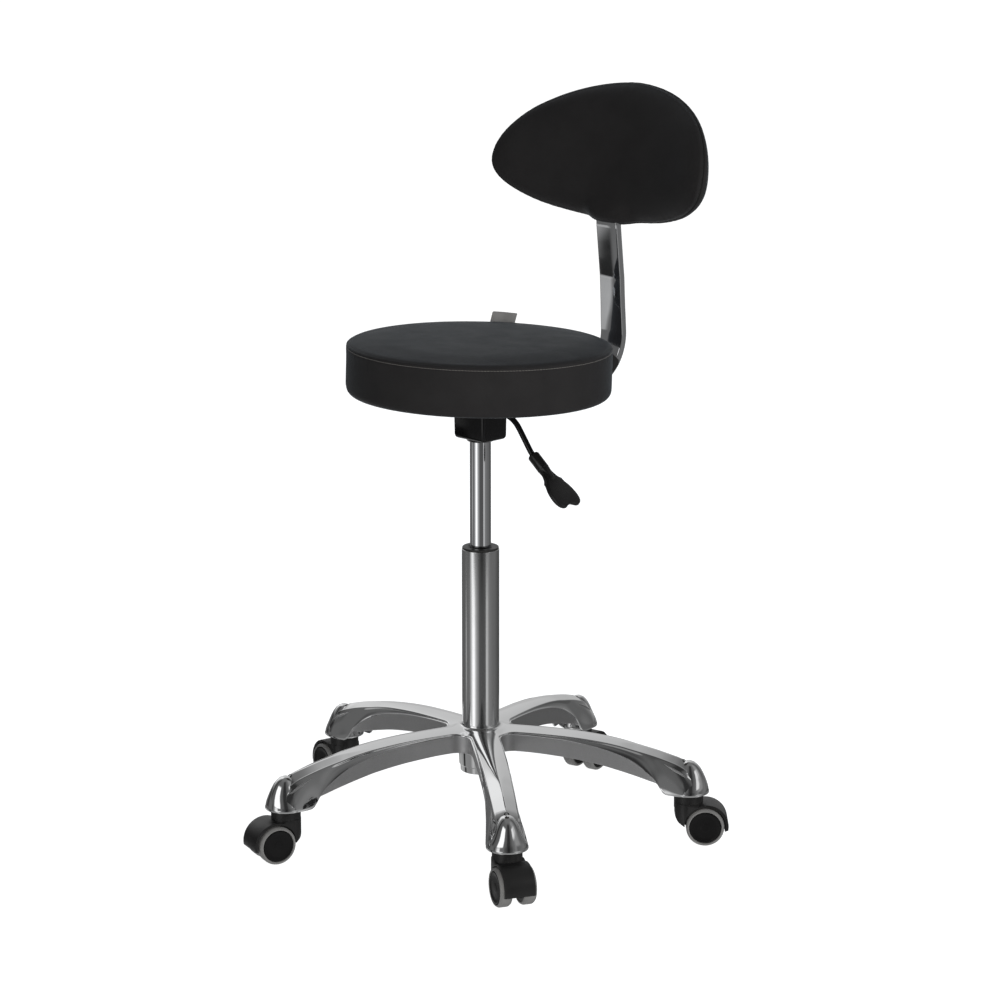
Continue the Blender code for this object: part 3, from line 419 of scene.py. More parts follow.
def leather(name, colour):
    mat = Material(name)
    pebble_edges = mat.voronoi(scale=1150, feature="DISTANCE_TO_EDGE")
    fine_pebbles = mat.voronoi(scale=1150 * 2.3)
    creases = mat.voronoi(scale=150, feature="DISTANCE_TO_EDGE",
                          vector=mat.stretched((1, 1.15, 0.9)))
    patches = mat.noise(scale=26, detail=4, rough=0.6)
    grain = mat.math("ADD", mat.range(pebble_edges, within=(0.0, 0.09)),
                     mat.range(fine_pebbles, within=(0.0, 0.6), to=(0.0, 0.35)))
    raised = mat.mix(mat.range(patches, within=MIDDLE), colour, shade(colour, 1.22))
    gloss = mat.math("MULTIPLY", patches, mat.range(grain, to=(1.25, 0.85)))
    normal = mat.bump(grain, strength=0.20, distance=0.00016)
    normal = mat.bump(mat.range(creases, within=(0.0, 0.05)), strength=0.07, distance=0.0004,
                      normal=normal)
    normal = mat.bump(mat.noise(scale=70, detail=3), strength=0.10, distance=0.0008,
                      normal=normal)
    return mat.surface(
        Base_Color=mat.mix(mat.range(grain, within=(0.1, 1.1)), shade(colour, 0.72), raised),
        Roughness=mat.range(gloss, within=(0.3, 0.75), to=(0.44, 0.56)), Normal=normal,
        Sheen_Weight=0.035, Sheen_Roughness=0.35, Sheen_Tint=(0.72, 0.86, 1.0, 1.0),
        Specular_IOR_Level=0.040)


def plastic(name, colour, rough, grain_scale, grain, edge_lift=1.6, specular=0.5):
    """Moulded material; grain is the bump's depth, and the colour is made lighter on convex edges by the given
    factor.
    """
    mat = Material(name)
    speck = mat.noise(scale=grain_scale, rough=0.55)
    flow = mat.noise(scale=45, detail=4, rough=0.6)
    pointiness = mat.node("ShaderNodeNewGeometry").outputs["Pointiness"]
    body = mat.mix(mat.range(flow, within=MIDDLE), shade(colour, 0.85), shade(colour, 1.1))
    gloss = mat.math("MULTIPLY", flow, mat.range(speck, to=(0.85, 1.15)))
    # colour lighter on convex edges, found by pointiness
    return mat.surface(
        Base_Color=mat.mix(mat.range(pointiness, within=(0.52, 0.60)), body, shade(colour, edge_lift)),
        Roughness=mat.range(gloss, within=MIDDLE, to=rough),
        Normal=mat.bump(speck, strength=grain, distance=0.00012), Specular_IOR_Level=specular)


def brushed(name, colour, rough):
    mat = Material(name)
    lines = mat.noise(scale=1500, detail=3, rough=0.6, vector=mat.stretched((1, 1, 0.03)))
    blotch = mat.noise(scale=120, detail=4, rough=0.6)
    return mat.surface(Base_Color=mat.mix(blotch, shade(colour, 0.8), colour), Metallic=1.0,
                       Roughness=mat.range(lines, within=MIDDLE, to=rough),
                       Normal=mat.bump(lines, strength=0.12, distance=0.00004))


def wood(name):
    mat = Material(name)
    along = mat.stretched((1.0, 9.0, 9.0))
    rings = mat.noise(scale=26, detail=5, rough=0.6, vector=along)
    pores = mat.noise(scale=420, vector=along)
    return mat.surface(
        Base_Color=mat.mix(mat.range(rings, within=(0.35, 0.65)),
                           (0.030, 0.026, 0.022), (0.060, 0.052, 0.044)),
        Roughness=mat.range(pores, to=(0.55, 0.8)),
        Normal=mat.bump(pores, strength=0.3, distance=0.0002))


def foam(name):
    mat = Material(name)
    return mat.surface(
        Base_Color=mat.mix(mat.noise(scale=60, detail=3), (0.72, 0.66, 0.48), (0.82, 0.77, 0.60)),
        Roughness=0.95, Normal=mat.bump(mat.voronoi(scale=1400), strength=0.5, distance=0.0005))


def woven(name, colour):
    mat = Material(name)
    warp, weft = mat.wave(scale=620, direction="X"), mat.wave(scale=620, direction="Z")
    weave = mat.math("MAXIMUM", warp, weft)
    return mat.surface(
        Base_Color=mat.mix(mat.range(weave), shade(colour, 0.8), shade(colour, 1.12)),
        Roughness=mat.range(mat.noise(scale=300), to=(0.7, 0.9)), Sheen_Weight=0.15,
        Normal=mat.bump(weave, strength=0.35, distance=0.00015))


CHROME = chrome("chrome_plate", (0.86, 0.87, 0.885), rough=(0.035, 0.085))
SLEEVE = chrome("chrome_sleeve", (0.83, 0.835, 0.84), rough=(0.10, 0.17), streaks=(1, 1, 0.02))
CAST = chrome("chromed_casting", (0.86, 0.865, 0.87), rough=(0.030, 0.075), wavy=0.12)
RAW = raw_casting("casting_unpolished")
LEATHER = leather("leatherette_black", (0.0115, 0.0112, 0.0116))
HOOD = plastic("moulded_nylon_black", (0.0068, 0.0068, 0.0070), rough=(0.32, 0.44),
               grain_scale=2600, grain=0.22, specular=0.42)
CAP = plastic("wheel_cap_black", (0.0034, 0.0034, 0.0036), rough=(0.34, 0.46),
              grain_scale=3000, grain=0.18, specular=0.26)
GRIP = plastic("grip_plastic_black", (0.0040, 0.0040, 0.0042), rough=(0.20, 0.32),
               grain_scale=2200, grain=0.10)
TREAD = plastic("tread_polyurethane_grey", (0.105, 0.105, 0.105), rough=(0.42, 0.55),
                grain_scale=1800, grain=0.20, edge_lift=1.25)
RUBBER = plastic("rubber_black", (0.007, 0.007, 0.007), rough=(0.62, 0.75),
                 grain_scale=1500, grain=0.35)
ENAMEL = plastic("enamel_black", (0.0016, 0.0016, 0.0018), rough=(0.07, 0.15),
                 grain_scale=420, grain=0.05, edge_lift=1.3, specular=0.40)
BUSH = plastic("bush_plastic_black", (0.010, 0.010, 0.010), rough=(0.35, 0.45),
               grain_scale=2500, grain=0.15)
THREAD = plastic("thread_charcoal", (0.085, 0.082, 0.078), rough=(0.55, 0.7),
                 grain_scale=4000, grain=0.4, edge_lift=1.2)
ZINC = brushed("zinc_plate", (0.60, 0.61, 0.63), rough=(0.26, 0.42))
PLY = wood("plywood")
FOAM = foam("upholstery_foam")
TAB = woven("tab_woven_grey", (0.165, 0.165, 0.167))
# near-black material of the plugs that paint the shade inside the base's small holes
HOLE_SHADOW = plastic("hole_shadow", (0.004, 0.004, 0.004), rough=(0.6, 0.7), grain_scale=900, grain=0.2)

BY_SLOT = {"chrome": CHROME, "polished_base": CAST, "zinc_steel": ZINC, "black_enamel": ENAMEL,
           "black_plastic": HOOD, "grip_plastic": GRIP, "grey_tread": TREAD,
           "black_rubber": RUBBER, "leatherette": LEATHER, "foam": FOAM, "plywood": PLY}
for record in frame["record"]["subparts"]:
    data = frame["nodes"][record["node"]].data
    data.materials.clear()
    data.materials.append(BY_SLOT[record["material_slot"]])
    data.shade_smooth()
    data.set_sharp_from_angle(angle=math.radians(35))

# ------------------------------------------------------------------ five-arm base
# distance from the column, half width of the top, half width at the lip's lower edge, crest z,
# half width of the rounded ridge, slope of the flanks in degrees, lip's lower edge z,
# leg's lower edge z
ARM = (
    (0.000, 0.0186, 0.0203, 0.1464, 0.0205, 15.0, 0.1410, 0.1174),
    (0.060, 0.0183, 0.0202, 0.1459, 0.0190, 15.5, 0.1402, 0.1166),
    (0.110, 0.0178, 0.0198, 0.1444, 0.0168, 16.5, 0.1370, 0.1129),
    (0.160, 0.0171, 0.0195, 0.1404, 0.0126, 17.5, 0.1292, 0.1054),
    (0.190, 0.0166, 0.0197, 0.1362, 0.0078, 18.5, 0.1206, 0.0982),
    (0.214, 0.0162, 0.0204, 0.1315, 0.0016, 19.5, 0.1090, 0.0918),
    (0.238, 0.0158, 0.0220, 0.1258, 0.0007, 21.0, 0.0915, 0.0850),
    (0.256, 0.0155, 0.0246, 0.1205, 0.0007, 23.0, RIM_Z + 0.0010, 0.0812),
    (0.272, 0.0152, 0.0264, 0.1152, 0.0007, 26.0, RIM_Z + 0.0002, 0.0805),
    (STEM_CIRCLE, 0.0142, 0.0268, 0.1085, 0.0007, 28.0, RIM_Z + 0.0002, 0.0805),
    (STEM_CIRCLE + 0.0055, 0.0100, 0.0222, 0.1035, 0.0007, 28.0, RIM_Z + 0.0006, 0.0805),
)
(top_half, lip_half, crest_z, ridge_half, flank_slope, lip_z, leg_z) = (
    hermite(ARM, column) for column in range(1, 8))
BORE_R = TUBE_R + 0.0006
HALF_SECTOR = math.radians(36)
NOTCH_R = 0.0200                               # fillet between two arms, seen from above
NOTCH_REACH = (top_half(0.06) + NOTCH_R) / math.sin(HALF_SECTOR)
NOTCH = Vector((NOTCH_REACH * math.cos(HALF_SECTOR), NOTCH_REACH * math.sin(HALF_SECTOR)))
EDGE_R = 0.0016                                # rounding where the top turns into the side
ARM_WALL = 0.0034
LEG_INSET = 0.0024                             # the leg stands back from the lip
TOP_COLUMNS, UNDER_COLUMNS = 16, 6
LIP_POINTS = 15                                # points of the side that are polished


def roof_z(x, y):
    """Top of one arm: a round ridge with straight flanks."""
    ridge, slope = ridge_half(x), math.radians(flank_slope(x))
    y = abs(y)
    radius = ridge / math.sin(slope)
    if y <= ridge:
        return crest_z(x) - (radius - math.sqrt(radius * radius - y * y))
    return crest_z(x) - radius * (1 - math.cos(slope)) - (y - ridge) * math.tan(slope)


def top_z(x, y):
    """Top of the base: neighbouring arms melt together and level out at the hub."""
    softness = 0.0010
    heights = []
    for k in (-1, 0, 1):
        c, s = math.cos(2 * HALF_SECTOR * k), math.sin(2 * HALF_SECTOR * k)
        along, aside = x * c + y * s, -x * s + y * c
        if along > 0.005:
            heights.append(roof_z(along, aside))
    best = max(heights)
    z = best + softness * math.log(sum(math.exp((h - best) / softness) for h in heights))
    t = smoothstep(BORE_R + 0.0010, BORE_R + 0.0150, math.hypot(x, y))
    return HUB_TOP * (1 - t) + min(z, HUB_TOP) * t


def sector_rows():
    """Rows over half an arm, from the bore to inside the tip: the point on the centre line,
    the point on the edge, and the edge's outward normal (None between two arms)."""
    inner_rows, notch_rows, arm_rows = 6, 9, 64
    corner = Vector((math.cos(HALF_SECTOR), math.sin(HALF_SECTOR))) * (NOTCH_REACH - NOTCH_R)
    rows = []
    for i in range(inner_rows):
        r = BORE_R + (corner.length - BORE_R) * (i / inner_rows)
        outward = Vector((math.cos(HALF_SECTOR), math.sin(HALF_SECTOR)))
        rows.append((Vector((r, 0)), outward * r, None))

    notch_x, notch_y = math.cos(HALF_SECTOR) * NOTCH_REACH, math.sin(HALF_SECTOR) * NOTCH_REACH
    start = math.atan2(corner.y - notch_y, corner.x - notch_x)
    start = start if start < 0 else start - math.tau
    outline = []
    for k in range(notch_rows + 1):
        turn = start + (-math.pi / 2 - start) * k / notch_rows
        direction = Vector((math.cos(turn), math.sin(turn)))
        outline.append((NOTCH + direction * NOTCH_R, -direction))
    for k in range(1, arm_rows + 1):
        x = notch_x + (ARM[-1][0] - notch_x) * (k / arm_rows)
        growth = top_half(x + 0.0005) - top_half(x - 0.0005)
        outline.append((Vector((x, top_half(x))), Vector((-growth / 0.001, 1.0)).normalized()))
    for k, (point, normal) in enumerate(outline):
        lead = corner.length + (point.x - corner.x)
        blend = smoothstep(0, notch_rows + 10, k)
        rows.append((Vector((lead * (1 - blend) + point.x * blend, 0)), point, normal))
    return rows


def side_profile(x, edge_z):
    """(outward offset, z) down the lip and the leg and round to the inside of the wall."""
    flare = lip_half(x) - top_half(x)
    lip, leg = lip_z(x), leg_z(x)
    line = [(-EDGE_R + EDGE_R * math.sin(math.radians(degrees)),
             edge_z - EDGE_R * (1 - math.cos(math.radians(degrees))))
            for degrees in (25, 50, 72, 90)]
    height = edge_z - EDGE_R - lip
    full = smoothstep(0.215, 0.258, x)
    # the lip is a little hollow below its edge and flares where it runs into the tip
    line += [(flare * ((1 - full) * f ** 1.5 + full * (1 - (1 - f) ** 1.9))
              - 0.0005 * (1 - full) * math.sin(math.pi * f), edge_z - EDGE_R - height * f)
             for f in (0.10, 0.21, 0.34, 0.48, 0.62, 0.77, 0.91)]
    line += [(flare, lip + 0.0008), (flare - 0.0003, lip + 0.0002), (flare - 0.0010, lip)]
    drop = lip - leg
    wall = flare - LEG_INSET
    line += [(wall, lip + 0.0004), (wall - 0.0002, lip - 0.30 * drop),
             (wall - 0.0002, lip - 0.62 * drop),
             (wall - 0.0003, leg + (0.0010 if drop > 0 else -0.0010)), (wall - 0.0010, leg),
             (wall - 0.0030, leg), (wall - 0.0036, leg + 0.0010)]
    return line


def across_arm(left, end, t):
    """A curve from the centre line to the edge."""
    bend = Vector((left.x, end.y * 0.55))
    return left * (1 - t) ** 2 + bend * 2 * t * (1 - t) + end * t ** 2


def half_arm():
    """Rows of (top, side, under) points for half of one arm."""
    rows = []
    for i, (left, right, normal) in enumerate(sector_rows()):
        between = normal is None
        end = right if between else right - normal * EDGE_R
        upper = []
        for j in range(TOP_COLUMNS + 1):
            p = across_arm(left, end, 1 - (1 - j / TOP_COLUMNS) ** 1.15)
            upper.append(Vector((p.x, p.y, top_z(p.x, p.y))))
        side = []
        if between:
            inner = right * max(0.2, (right.length - 0.0060 * (i / 6)) / right.length)
        else:
            side = [Vector((*(right + normal * offset), z))
                    for offset, z in side_profile(right.x, upper[-1].z)]
            flare = lip_half(right.x) - top_half(right.x)
            inner = right + normal * (flare - LEG_INSET - 0.0048)
        under = []
        for j in range(UNDER_COLUMNS + 1):
            p = across_arm(left, inner, 1 - j / UNDER_COLUMNS)
            z = top_z(p.x, p.y) - ARM_WALL - (0.0030 if between else 0.0)
            if not between:
                z = max(z - 0.0008, RIM_Z + 0.004)
            under.append(Vector((p.x, p.y, z)))
        rows.append((upper, side, under))
    return rows


def base_arms():
    shape = bmesh.new()
    half = half_arm()
    for arm_frame in ARM_FRAMES:
        for sign in (1, -1):
            matrix = arm_frame @ Matrix.Diagonal((1, sign, 1, 1))
            rows = [[[shape.verts.new(matrix @ p) for p in points] for points in row]
                    for row in half]
            for (top0, side0, under0), (top1, side1, under1) in zip(rows, rows[1:]):
                grid_faces(shape, [top0, top1])
                raw = grid_faces(shape, [under0, under1])
                if side0:
                    grid_faces(shape, [[top0[-1], *side0[:LIP_POINTS]],
                                       [top1[-1], *side1[:LIP_POINTS]]])
                    raw += grid_faces(shape, [[*side0[LIP_POINTS - 1:], under0[0]],
                                              [*side1[LIP_POINTS - 1:], under1[0]]])
                for face in raw:
                    face.material_index = 1
            # bore wall, then the closing wall inside the tip
            upper, _, under = rows[0]
            lower = under[::-1]
            grid_faces(shape, [upper, [lower[round(k * UNDER_COLUMNS / TOP_COLUMNS)]
                                       for k in range(TOP_COLUMNS + 1)]])
            shape.faces.new([vert for points in rows[-1] for vert in points])
    bmesh.ops.remove_doubles(shape, verts=shape.verts, dist=2e-5)
    bmesh.ops.triangulate(shape, faces=[face for face in shape.faces if len(face.verts) > 4])
    mesh = mesh_of(shape, "star_base_arms")
    panels = [face.material_index for face in mesh.polygons]
    add_part("star_base_arms", mesh, CAST, "base", "star_base")
    mesh.materials.append(RAW)
    mesh.polygons.foreach_set("material_index", panels)


# outside of the bell, its rim, then the inside with the stem's socket, as (r, z)
TIP_PROFILE = [
    (0, 0.1128), (0.004, 0.1121), (0.008, 0.1101), (0.0120, 0.1069), (0.0158, 0.1022),
    (0.0190, 0.0964), (0.0215, 0.0908), (0.0237, 0.0852), (0.0252, 0.0803), (0.0262, 0.0762),
    (0.0267, RIM_Z + 0.0047), (0.0267, RIM_Z + 0.0038), (0.0269, RIM_Z + 0.0032),
    (0.0274, RIM_Z + 0.0026), (0.0274, RIM_Z + 0.0012), (0.0271, RIM_Z + 0.0004),
    (0.0262, RIM_Z), (0.0238, RIM_Z), (0.0231, RIM_Z + 0.0006), (0.0230, RIM_Z + 0.0030),
    (0.0215, RIM_Z + 0.0140), (0.0180, RIM_Z + 0.0215), (0.0095, RIM_Z + 0.0225),
    (0.0088, RIM_Z + 0.0215), (0.0086, RIM_Z + 0.0030), (0.0080, RIM_Z + 0.0024),
    (0.0060, RIM_Z + 0.0024), (0.0060, 0.0944), (0, 0.0944),
]


def base_tips():
    shape = bmesh.new()
    shoulder_z = RIM_Z + 0.0050
    for stem, azimuth, _ in STEMS:
        at_tip = upright(stem, azimuth)
        for row in lathe(shape, TIP_PROFILE, 96):
            # narrower across than along above the rim, so that the flanks run down beside it
            for v in dict.fromkeys(row):
                if v.co.z > shoulder_z and math.hypot(v.co.x, v.co.y) > 0.0100:
                    v.co.y *= 1 - 0.13 * smoothstep(shoulder_z, 0.0900, v.co.z)
                v.co = at_tip @ v.co
        # ribs between the socket and the bell's wall
        for degrees in (125, 180, 235):
            prism(shape, rectangle(0.0080, -0.0011, 0.0222, 0.0011), RIM_Z + 0.0040,
                  RIM_Z + 0.0200, matrix=upright(stem, azimuth + math.radians(degrees)))
    add_part("star_base_tips", shape, CAST, "base")


def base_hole_shades():
    """Near-black plugs, painted shade standing in for the small round hole where each ridge meets its tip."""
    shape = bmesh.new()
    x = STEM_CIRCLE - 0.0062
    profile = [(0, 0.0004), (0.0022, 0.0004), (0.0030, 0.0008), (0.0034, 0.0008),
               (0.0035, -0.006), (0, -0.006)]
    for arm_frame in ARM_FRAMES:
        place = arm_frame @ Matrix.Translation((x, 0, crest_z(x) - 0.0012))
        lathe(shape, profile, 32, place @ Matrix.Rotation(math.radians(34), 4, "Y"))
    add_part("star_base_hole_shades", shape, HOLE_SHADOW, "base")


def base_hub():
    shape = bmesh.new()
    # bead round the tube, with a hollow outer side
    cove_r = 0.0033
    cove = [(BORE_R + 0.0036 + cove_r * math.cos(math.radians(degrees)),
             HUB_TOP + 0.0034 + cove_r * math.sin(math.radians(degrees)))
            for degrees in range(180, 271, 10)]
    inner = BORE_R - 0.0004
    lathe(shape, [(inner, HUB_TOP - 0.006), (inner, HUB_TOP + 0.0036),
                  (BORE_R + 0.0001, HUB_TOP + 0.0037), *cove, (BORE_R + 0.0044, HUB_TOP - 0.0003),
                  (BORE_R + 0.0044, HUB_TOP - 0.006)], 96, COLUMN, closed=True)
    # boss below, with a stepped end
    low = 0.0834
    lathe(shape, [(inner, HUB_TOP - 0.008), (inner, low, 0.0004), (0.0272, low, 0.0010),
                  (0.0276, low + 0.0085, 0.0005), (0.0290, low + 0.0095, 0.0008),
                  (0.0298, 0.1120, 0.003), (0.0330, 0.1190, 0.003), (0.0335, HUB_TOP - 0.008)],
          96, COLUMN, closed=True)
    for arm_frame in ARM_FRAMES:
        for y in (-0.0095, 0.0095):            # webs along the arm
            prism(shape, rectangle(0.0275, y - 0.0013, 0.110, y + 0.0013), 0.1215, 0.1385,
                  matrix=arm_frame)
        for x in (0.085, 0.130, 0.172, 0.208):  # cross ribs in the arm's hollow
            half = top_half(x) - 0.0035
            prism(shape, rectangle(x - 0.0012, -half, x + 0.0012, half), leg_z(x) + 0.006,
                  crest_z(x) - 0.0075, matrix=arm_frame)
    add_part("star_base_hub", shape, CAST, "base")


base_arms()
base_tips()
base_hole_shades()
base_hub()

# ------------------------------------------------------------------ gas lift
TUBE_FOOT = 0.0849
TUBE_TAPER_Z = 0.1204
TUBE_PROFILE = [(TUBE_R, TUBE_TOP, 0.0007), (TUBE_R, TUBE_TAPER_Z, 0.004),
                (TUBE_R - 0.0010, TUBE_FOOT, 0.0008), (0.0056, TUBE_FOOT), (0.0056, 0.0879),
                (TUBE_R - 0.0026, 0.0879, 0.0005), (TUBE_R - 0.0015, TUBE_TAPER_Z, 0.002),
                (TUBE_R - 0.0015, TUBE_TOP, 0.0004)]
BUSH_PROFILE = [(TUBE_R - 0.0006, TUBE_TOP + 0.0004), (TUBE_R - 0.0006, BUSH_TOP + 0.0004, 0.0009),
                (CYL_R + 0.0030, BUSH_TOP + 0.0006, 0.0006),
                (CYL_R + 0.0004, BUSH_TOP - 0.0012, 0.0004), (CYL_R + 0.0004, 0.3204),
                (TUBE_R - 0.0018, 0.3204), (TUBE_R - 0.0018, TUBE_TOP + 0.0004)]
CYL_PROFILE = [(0.0053, CYL_LO), (CYL_R, CYL_LO, 0.0012), (CYL_R, 0.5384, 0.01),
               (CYL_R - 0.0008, CYL_HI, 0.0010), (0.0038, CYL_HI), (0.0038, CYL_HI - 0.0140),
               (CYL_R - 0.002, CYL_HI - 0.0140, 0.002), (CYL_R - 0.002, CYL_LO + 0.007, 0.001),
               (0.0053, CYL_LO + 0.007)]
add_part("outer_tube_chrome", turned(TUBE_PROFILE, 144, COLUMN, closed=True), SLEEVE, "base",
         "outer_tube")
add_part("guide_bush_ring", turned(BUSH_PROFILE, 120, COLUMN, closed=True), BUSH, "base",
         "guide_bush")
add_part("pressure_cylinder_chrome", turned(CYL_PROFILE, 120, COLUMN, closed=True), CHROME, "seat",
         "pressure_cylinder")

# ------------------------------------------------------------------ casters
# A caster's own frame: x back along the trail, z up, swivel axis at x = 0.
HOOD_HALF = 0.0205
HOOD_R = 0.0302                                # back of the hood, round the axle
ACROSS = (Matrix.Translation((TRAIL, 0, WHEEL_R))      # on the axle, z along it
          @ Matrix.Rotation(math.radians(-90), 4, "X"))
HOOD_FRONT = [                                 # front and lower edge, (x, z, radius)
    (-0.0188, 0.0560, 0.001), (-0.0188, 0.0385, 0.012), (-0.0150, 0.0310, 0.010),
    (-0.0050, 0.0245, 0.012), (0.0080, 0.0175, 0.010), (TRAIL, 0.0160, 0.02),
    (0.0330, 0.0180, 0.004), (0.0475, 0.0185, 0.002),
]
COLLAR_PROFILE = [
    (0, 0.0480), (0.0197, 0.0480), (0.0197, COLLAR_TOP - 0.0022, 0.0005),
    (0.0190, COLLAR_TOP, 0.0007), (0.0150, COLLAR_TOP, 0.0006), (0.0146, COLLAR_TOP - 0.001),
    (0.0070, COLLAR_TOP - 0.001), (0.0068, COLLAR_TOP - 0.0002), (0, COLLAR_TOP - 0.0002),
]
HOOD_CUTS = (                                  # name, segments, radius, low, high, frame
    ("room_tool", 96, 0.0274, 0.0070, 0.0300, ACROSS),
    ("room_tool", 96, 0.0274, -0.0300, -0.0070, ACROSS),
    ("axle_tool", 24, 0.0034, -0.0300, 0.0300, ACROSS),
    ("stem_tool", 24, 0.0059, 0.0415, 0.0900, Matrix()),
)
# raised rim, shallow dish and slight boss, then the hub behind: (r, distance from the middle)
CAP_PROFILE = [
    (0, 0.0243), (0.0052, 0.0243, 0.001), (0.0064, 0.0239, 0.001), (0.0150, 0.0237, 0.002),
    (0.0186, 0.0242, 0.0010), (0.0194, 0.0246, 0.0006), (0.0207, 0.0243, 0.0006),
    (0.0211, 0.0228, 0.0004), (0.0211, 0.0088, 0.0004), (0.0165, 0.0083, 0.0006),
    (0.0160, 0.0150, 0.0005), (0.0075, 0.0150, 0.0005), (0.0070, 0.0079, 0.0004),
    (0.0037, 0.0079), (0.0037, 0.0195), (0, 0.0195),
]
TREAD_PROFILE = [
    (0.0215, 0.0236, 0.0003), (0.0220, 0.0247, 0.0005), (0.0233, 0.0248, 0.0012),
    (WHEEL_R, 0.0220, 0.0032), (WHEEL_R, 0.0108, 0.0032), (WHEEL_R - 0.0020, 0.0079, 0.0010),
    (0.0215, 0.0079, 0.0003),
]


def hood_mesh():
    arc = [(TRAIL + 0.0014 + HOOD_R * math.cos(math.radians(degrees)),
            WHEEL_R + HOOD_R * math.sin(math.radians(degrees))) for degrees in range(-10, 111, 5)]
    shape = bmesh.new()
    prism(shape, HOOD_FRONT + arc + [(0.0080, 0.0560, 0.001)], -HOOD_HALF, HOOD_HALF,
          bevel=0.0030, segments=5, matrix=Matrix.Rotation(math.radians(90), 4, "X"))
    hood = add_object("hood_tool", mesh_of(shape, "hood_tool"))
    # in plan the front is rounded
    plan = bmesh.new()
    prism(plan, [(-0.0192, -0.0206, 0.0185), (0.0900, -0.0206), (0.0900, 0.0206),
                 (-0.0192, 0.0206, 0.0185)], 0.0, 0.08, step=7)
    boolean(hood, "plan_tool", plan, "INTERSECT")
    boolean(hood, "collar_tool", turned(COLLAR_PROFILE, 72), "UNION")
    for name, count, radius, low, high, matrix in HOOD_CUTS:
        cutter = turned([(0, high), (radius, high), (radius, low), (0, low)], count, matrix)
        boolean(hood, name, cutter, "DIFFERENCE")
    bevel = hood.modifiers.new("rim", "BEVEL")
    bevel.width, bevel.segments = 0.0005, 2
    bevel.limit_method, bevel.angle_limit = "ANGLE", math.radians(50)
    apply_all(hood)
    mesh = hood.data
    bpy.data.objects.remove(hood)
    return mesh


def wheel_meshes(matrix):
    """Cap with eight spokes behind it, and tread."""
    cap = turned(CAP_PROFILE, 96, matrix)
    for k in range(8):
        prism(cap, rectangle(0.0065, -0.0007, 0.0165, 0.0007), 0.0088, 0.0155,
              matrix=matrix @ Matrix.Rotation(math.tau * k / 8, 4, "Z"))
    cap = mesh_of(cap, "wheel_cap")
    return cap, mesh_of(turned(TREAD_PROFILE, 120, matrix, closed=True), "wheel_tread")


def casters():
    hood = hood_mesh()
    cap_left, tread_left = wheel_meshes(ACROSS)
    cap_right, tread_right = wheel_meshes(ACROSS @ Matrix.Rotation(math.pi, 4, "X"))
    pieces = (                                 # name, mesh, material, body, slot, frame's piece
        ("hood_shell", hood, HOOD, "", "black_plastic", "hood"),
        ("cap_left", cap_left, CAP, "_left", "black_plastic", "wheel_left"),
        ("cap_right", cap_right, CAP, "_right", "black_plastic", "wheel_right"),
        ("tyre_left", tread_left, TREAD, "_left", "grey_tread", "tread_left"),
        ("tyre_right", tread_right, TREAD, "_right", "grey_tread", "tread_right"))
    for n, (stem, _, trail) in enumerate(STEMS, 1):
        for name, mesh, material, body, slot, node in pieces:
            own = mesh.copy()
            own.transform(upright(stem, trail))
            add_part(f"caster_{n}_{name}", own, material, f"caster_{n}{body}",
                     f"caster_{n}_{node}")


casters()

# ------------------------------------------------------------------ seat
SEAT_Z = 0.5999                                # underside of the cushion at the column
TILT = math.radians(-1.5)
SEAT = Matrix.Translation((AXIS_X, AXIS_Y, SEAT_Z)) @ Matrix.Rotation(TILT, 4, "X")
seat_lo, seat_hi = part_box("seat_cover")
SEAT_R = half_width("seat_cover")
CUSHION = Matrix.Translation((((seat_lo + seat_hi) / 2).x - AXIS_X, 0, 0)) @ SEAT
EDGE_H = 0.0706                                # height of the cushion's edge
CROWN = 0.0062                                 # rise of the middle above the edge
SEAM_Z = EDGE_H - 0.0030                       # seam between the top and the band
STITCH_Z = SEAM_Z - 0.0046


def simulate(target, pins, pressure, limit, passes):
    """Cloth under pressure with pinned seams, applied with no point moved more than limit;
    passes is how often the movement is evened out."""
    frames, stiffness = 20, 14.0
    rest = np.array([v.co for v in target.data.vertices])
    group = target.vertex_groups.new(name="pins")
    for i, weight in pins.items():
        group.add([i], weight, "REPLACE")
    cloth = target.modifiers.new("cloth", "CLOTH")
    settings = cloth.settings
    settings.quality = 5
    settings.mass = 0.25
    settings.tension_stiffness = settings.compression_stiffness = stiffness
    settings.shear_stiffness = stiffness * 0.6
    settings.bending_stiffness = 0.8
    settings.tension_damping = settings.compression_damping = 8
    settings.use_pressure = True
    settings.uniform_pressure_force = pressure
    settings.vertex_group_mass = "pins"
    settings.effector_weights.gravity = 0
    cloth.collision_settings.use_collision = False
    cloth.point_cache.frame_start, cloth.point_cache.frame_end = 1, frames
    scene = bpy.context.scene
    for number in range(1, frames + 1):
        scene.frame_set(number)
    graph = bpy.context.evaluated_depsgraph_get()
    mesh = bpy.data.meshes.new_from_object(target.evaluated_get(graph))
    move = np.array([v.co for v in mesh.vertices]) - rest
    bpy.data.meshes.remove(mesh)
    target.modifiers.clear()
    target.vertex_groups.clear()
    scene.frame_set(1)

    # creases finer than the covering's thickness are evened out
    edges = np.array([edge.vertices[:] for edge in target.data.edges])
    count = np.maximum(1, np.bincount(edges.ravel(), minlength=len(rest)))[:, None]
    free = np.ones((len(rest), 1))
    for i, weight in pins.items():
        free[i] = 1.0 - weight
    for _ in range(passes):
        near = np.zeros_like(move)
        np.add.at(near, edges[:, 0], move[edges[:, 1]])
        np.add.at(near, edges[:, 1], move[edges[:, 0]])
        move = move + 0.6 * free * (near / count - move)
    length = np.linalg.norm(move, axis=1, keepdims=True)
    move *= np.minimum(1.0, limit / np.maximum(length, 1e-9))
    target.data.vertices.foreach_set("co", (rest + move).astype(np.float32).ravel())
    target.data.update()


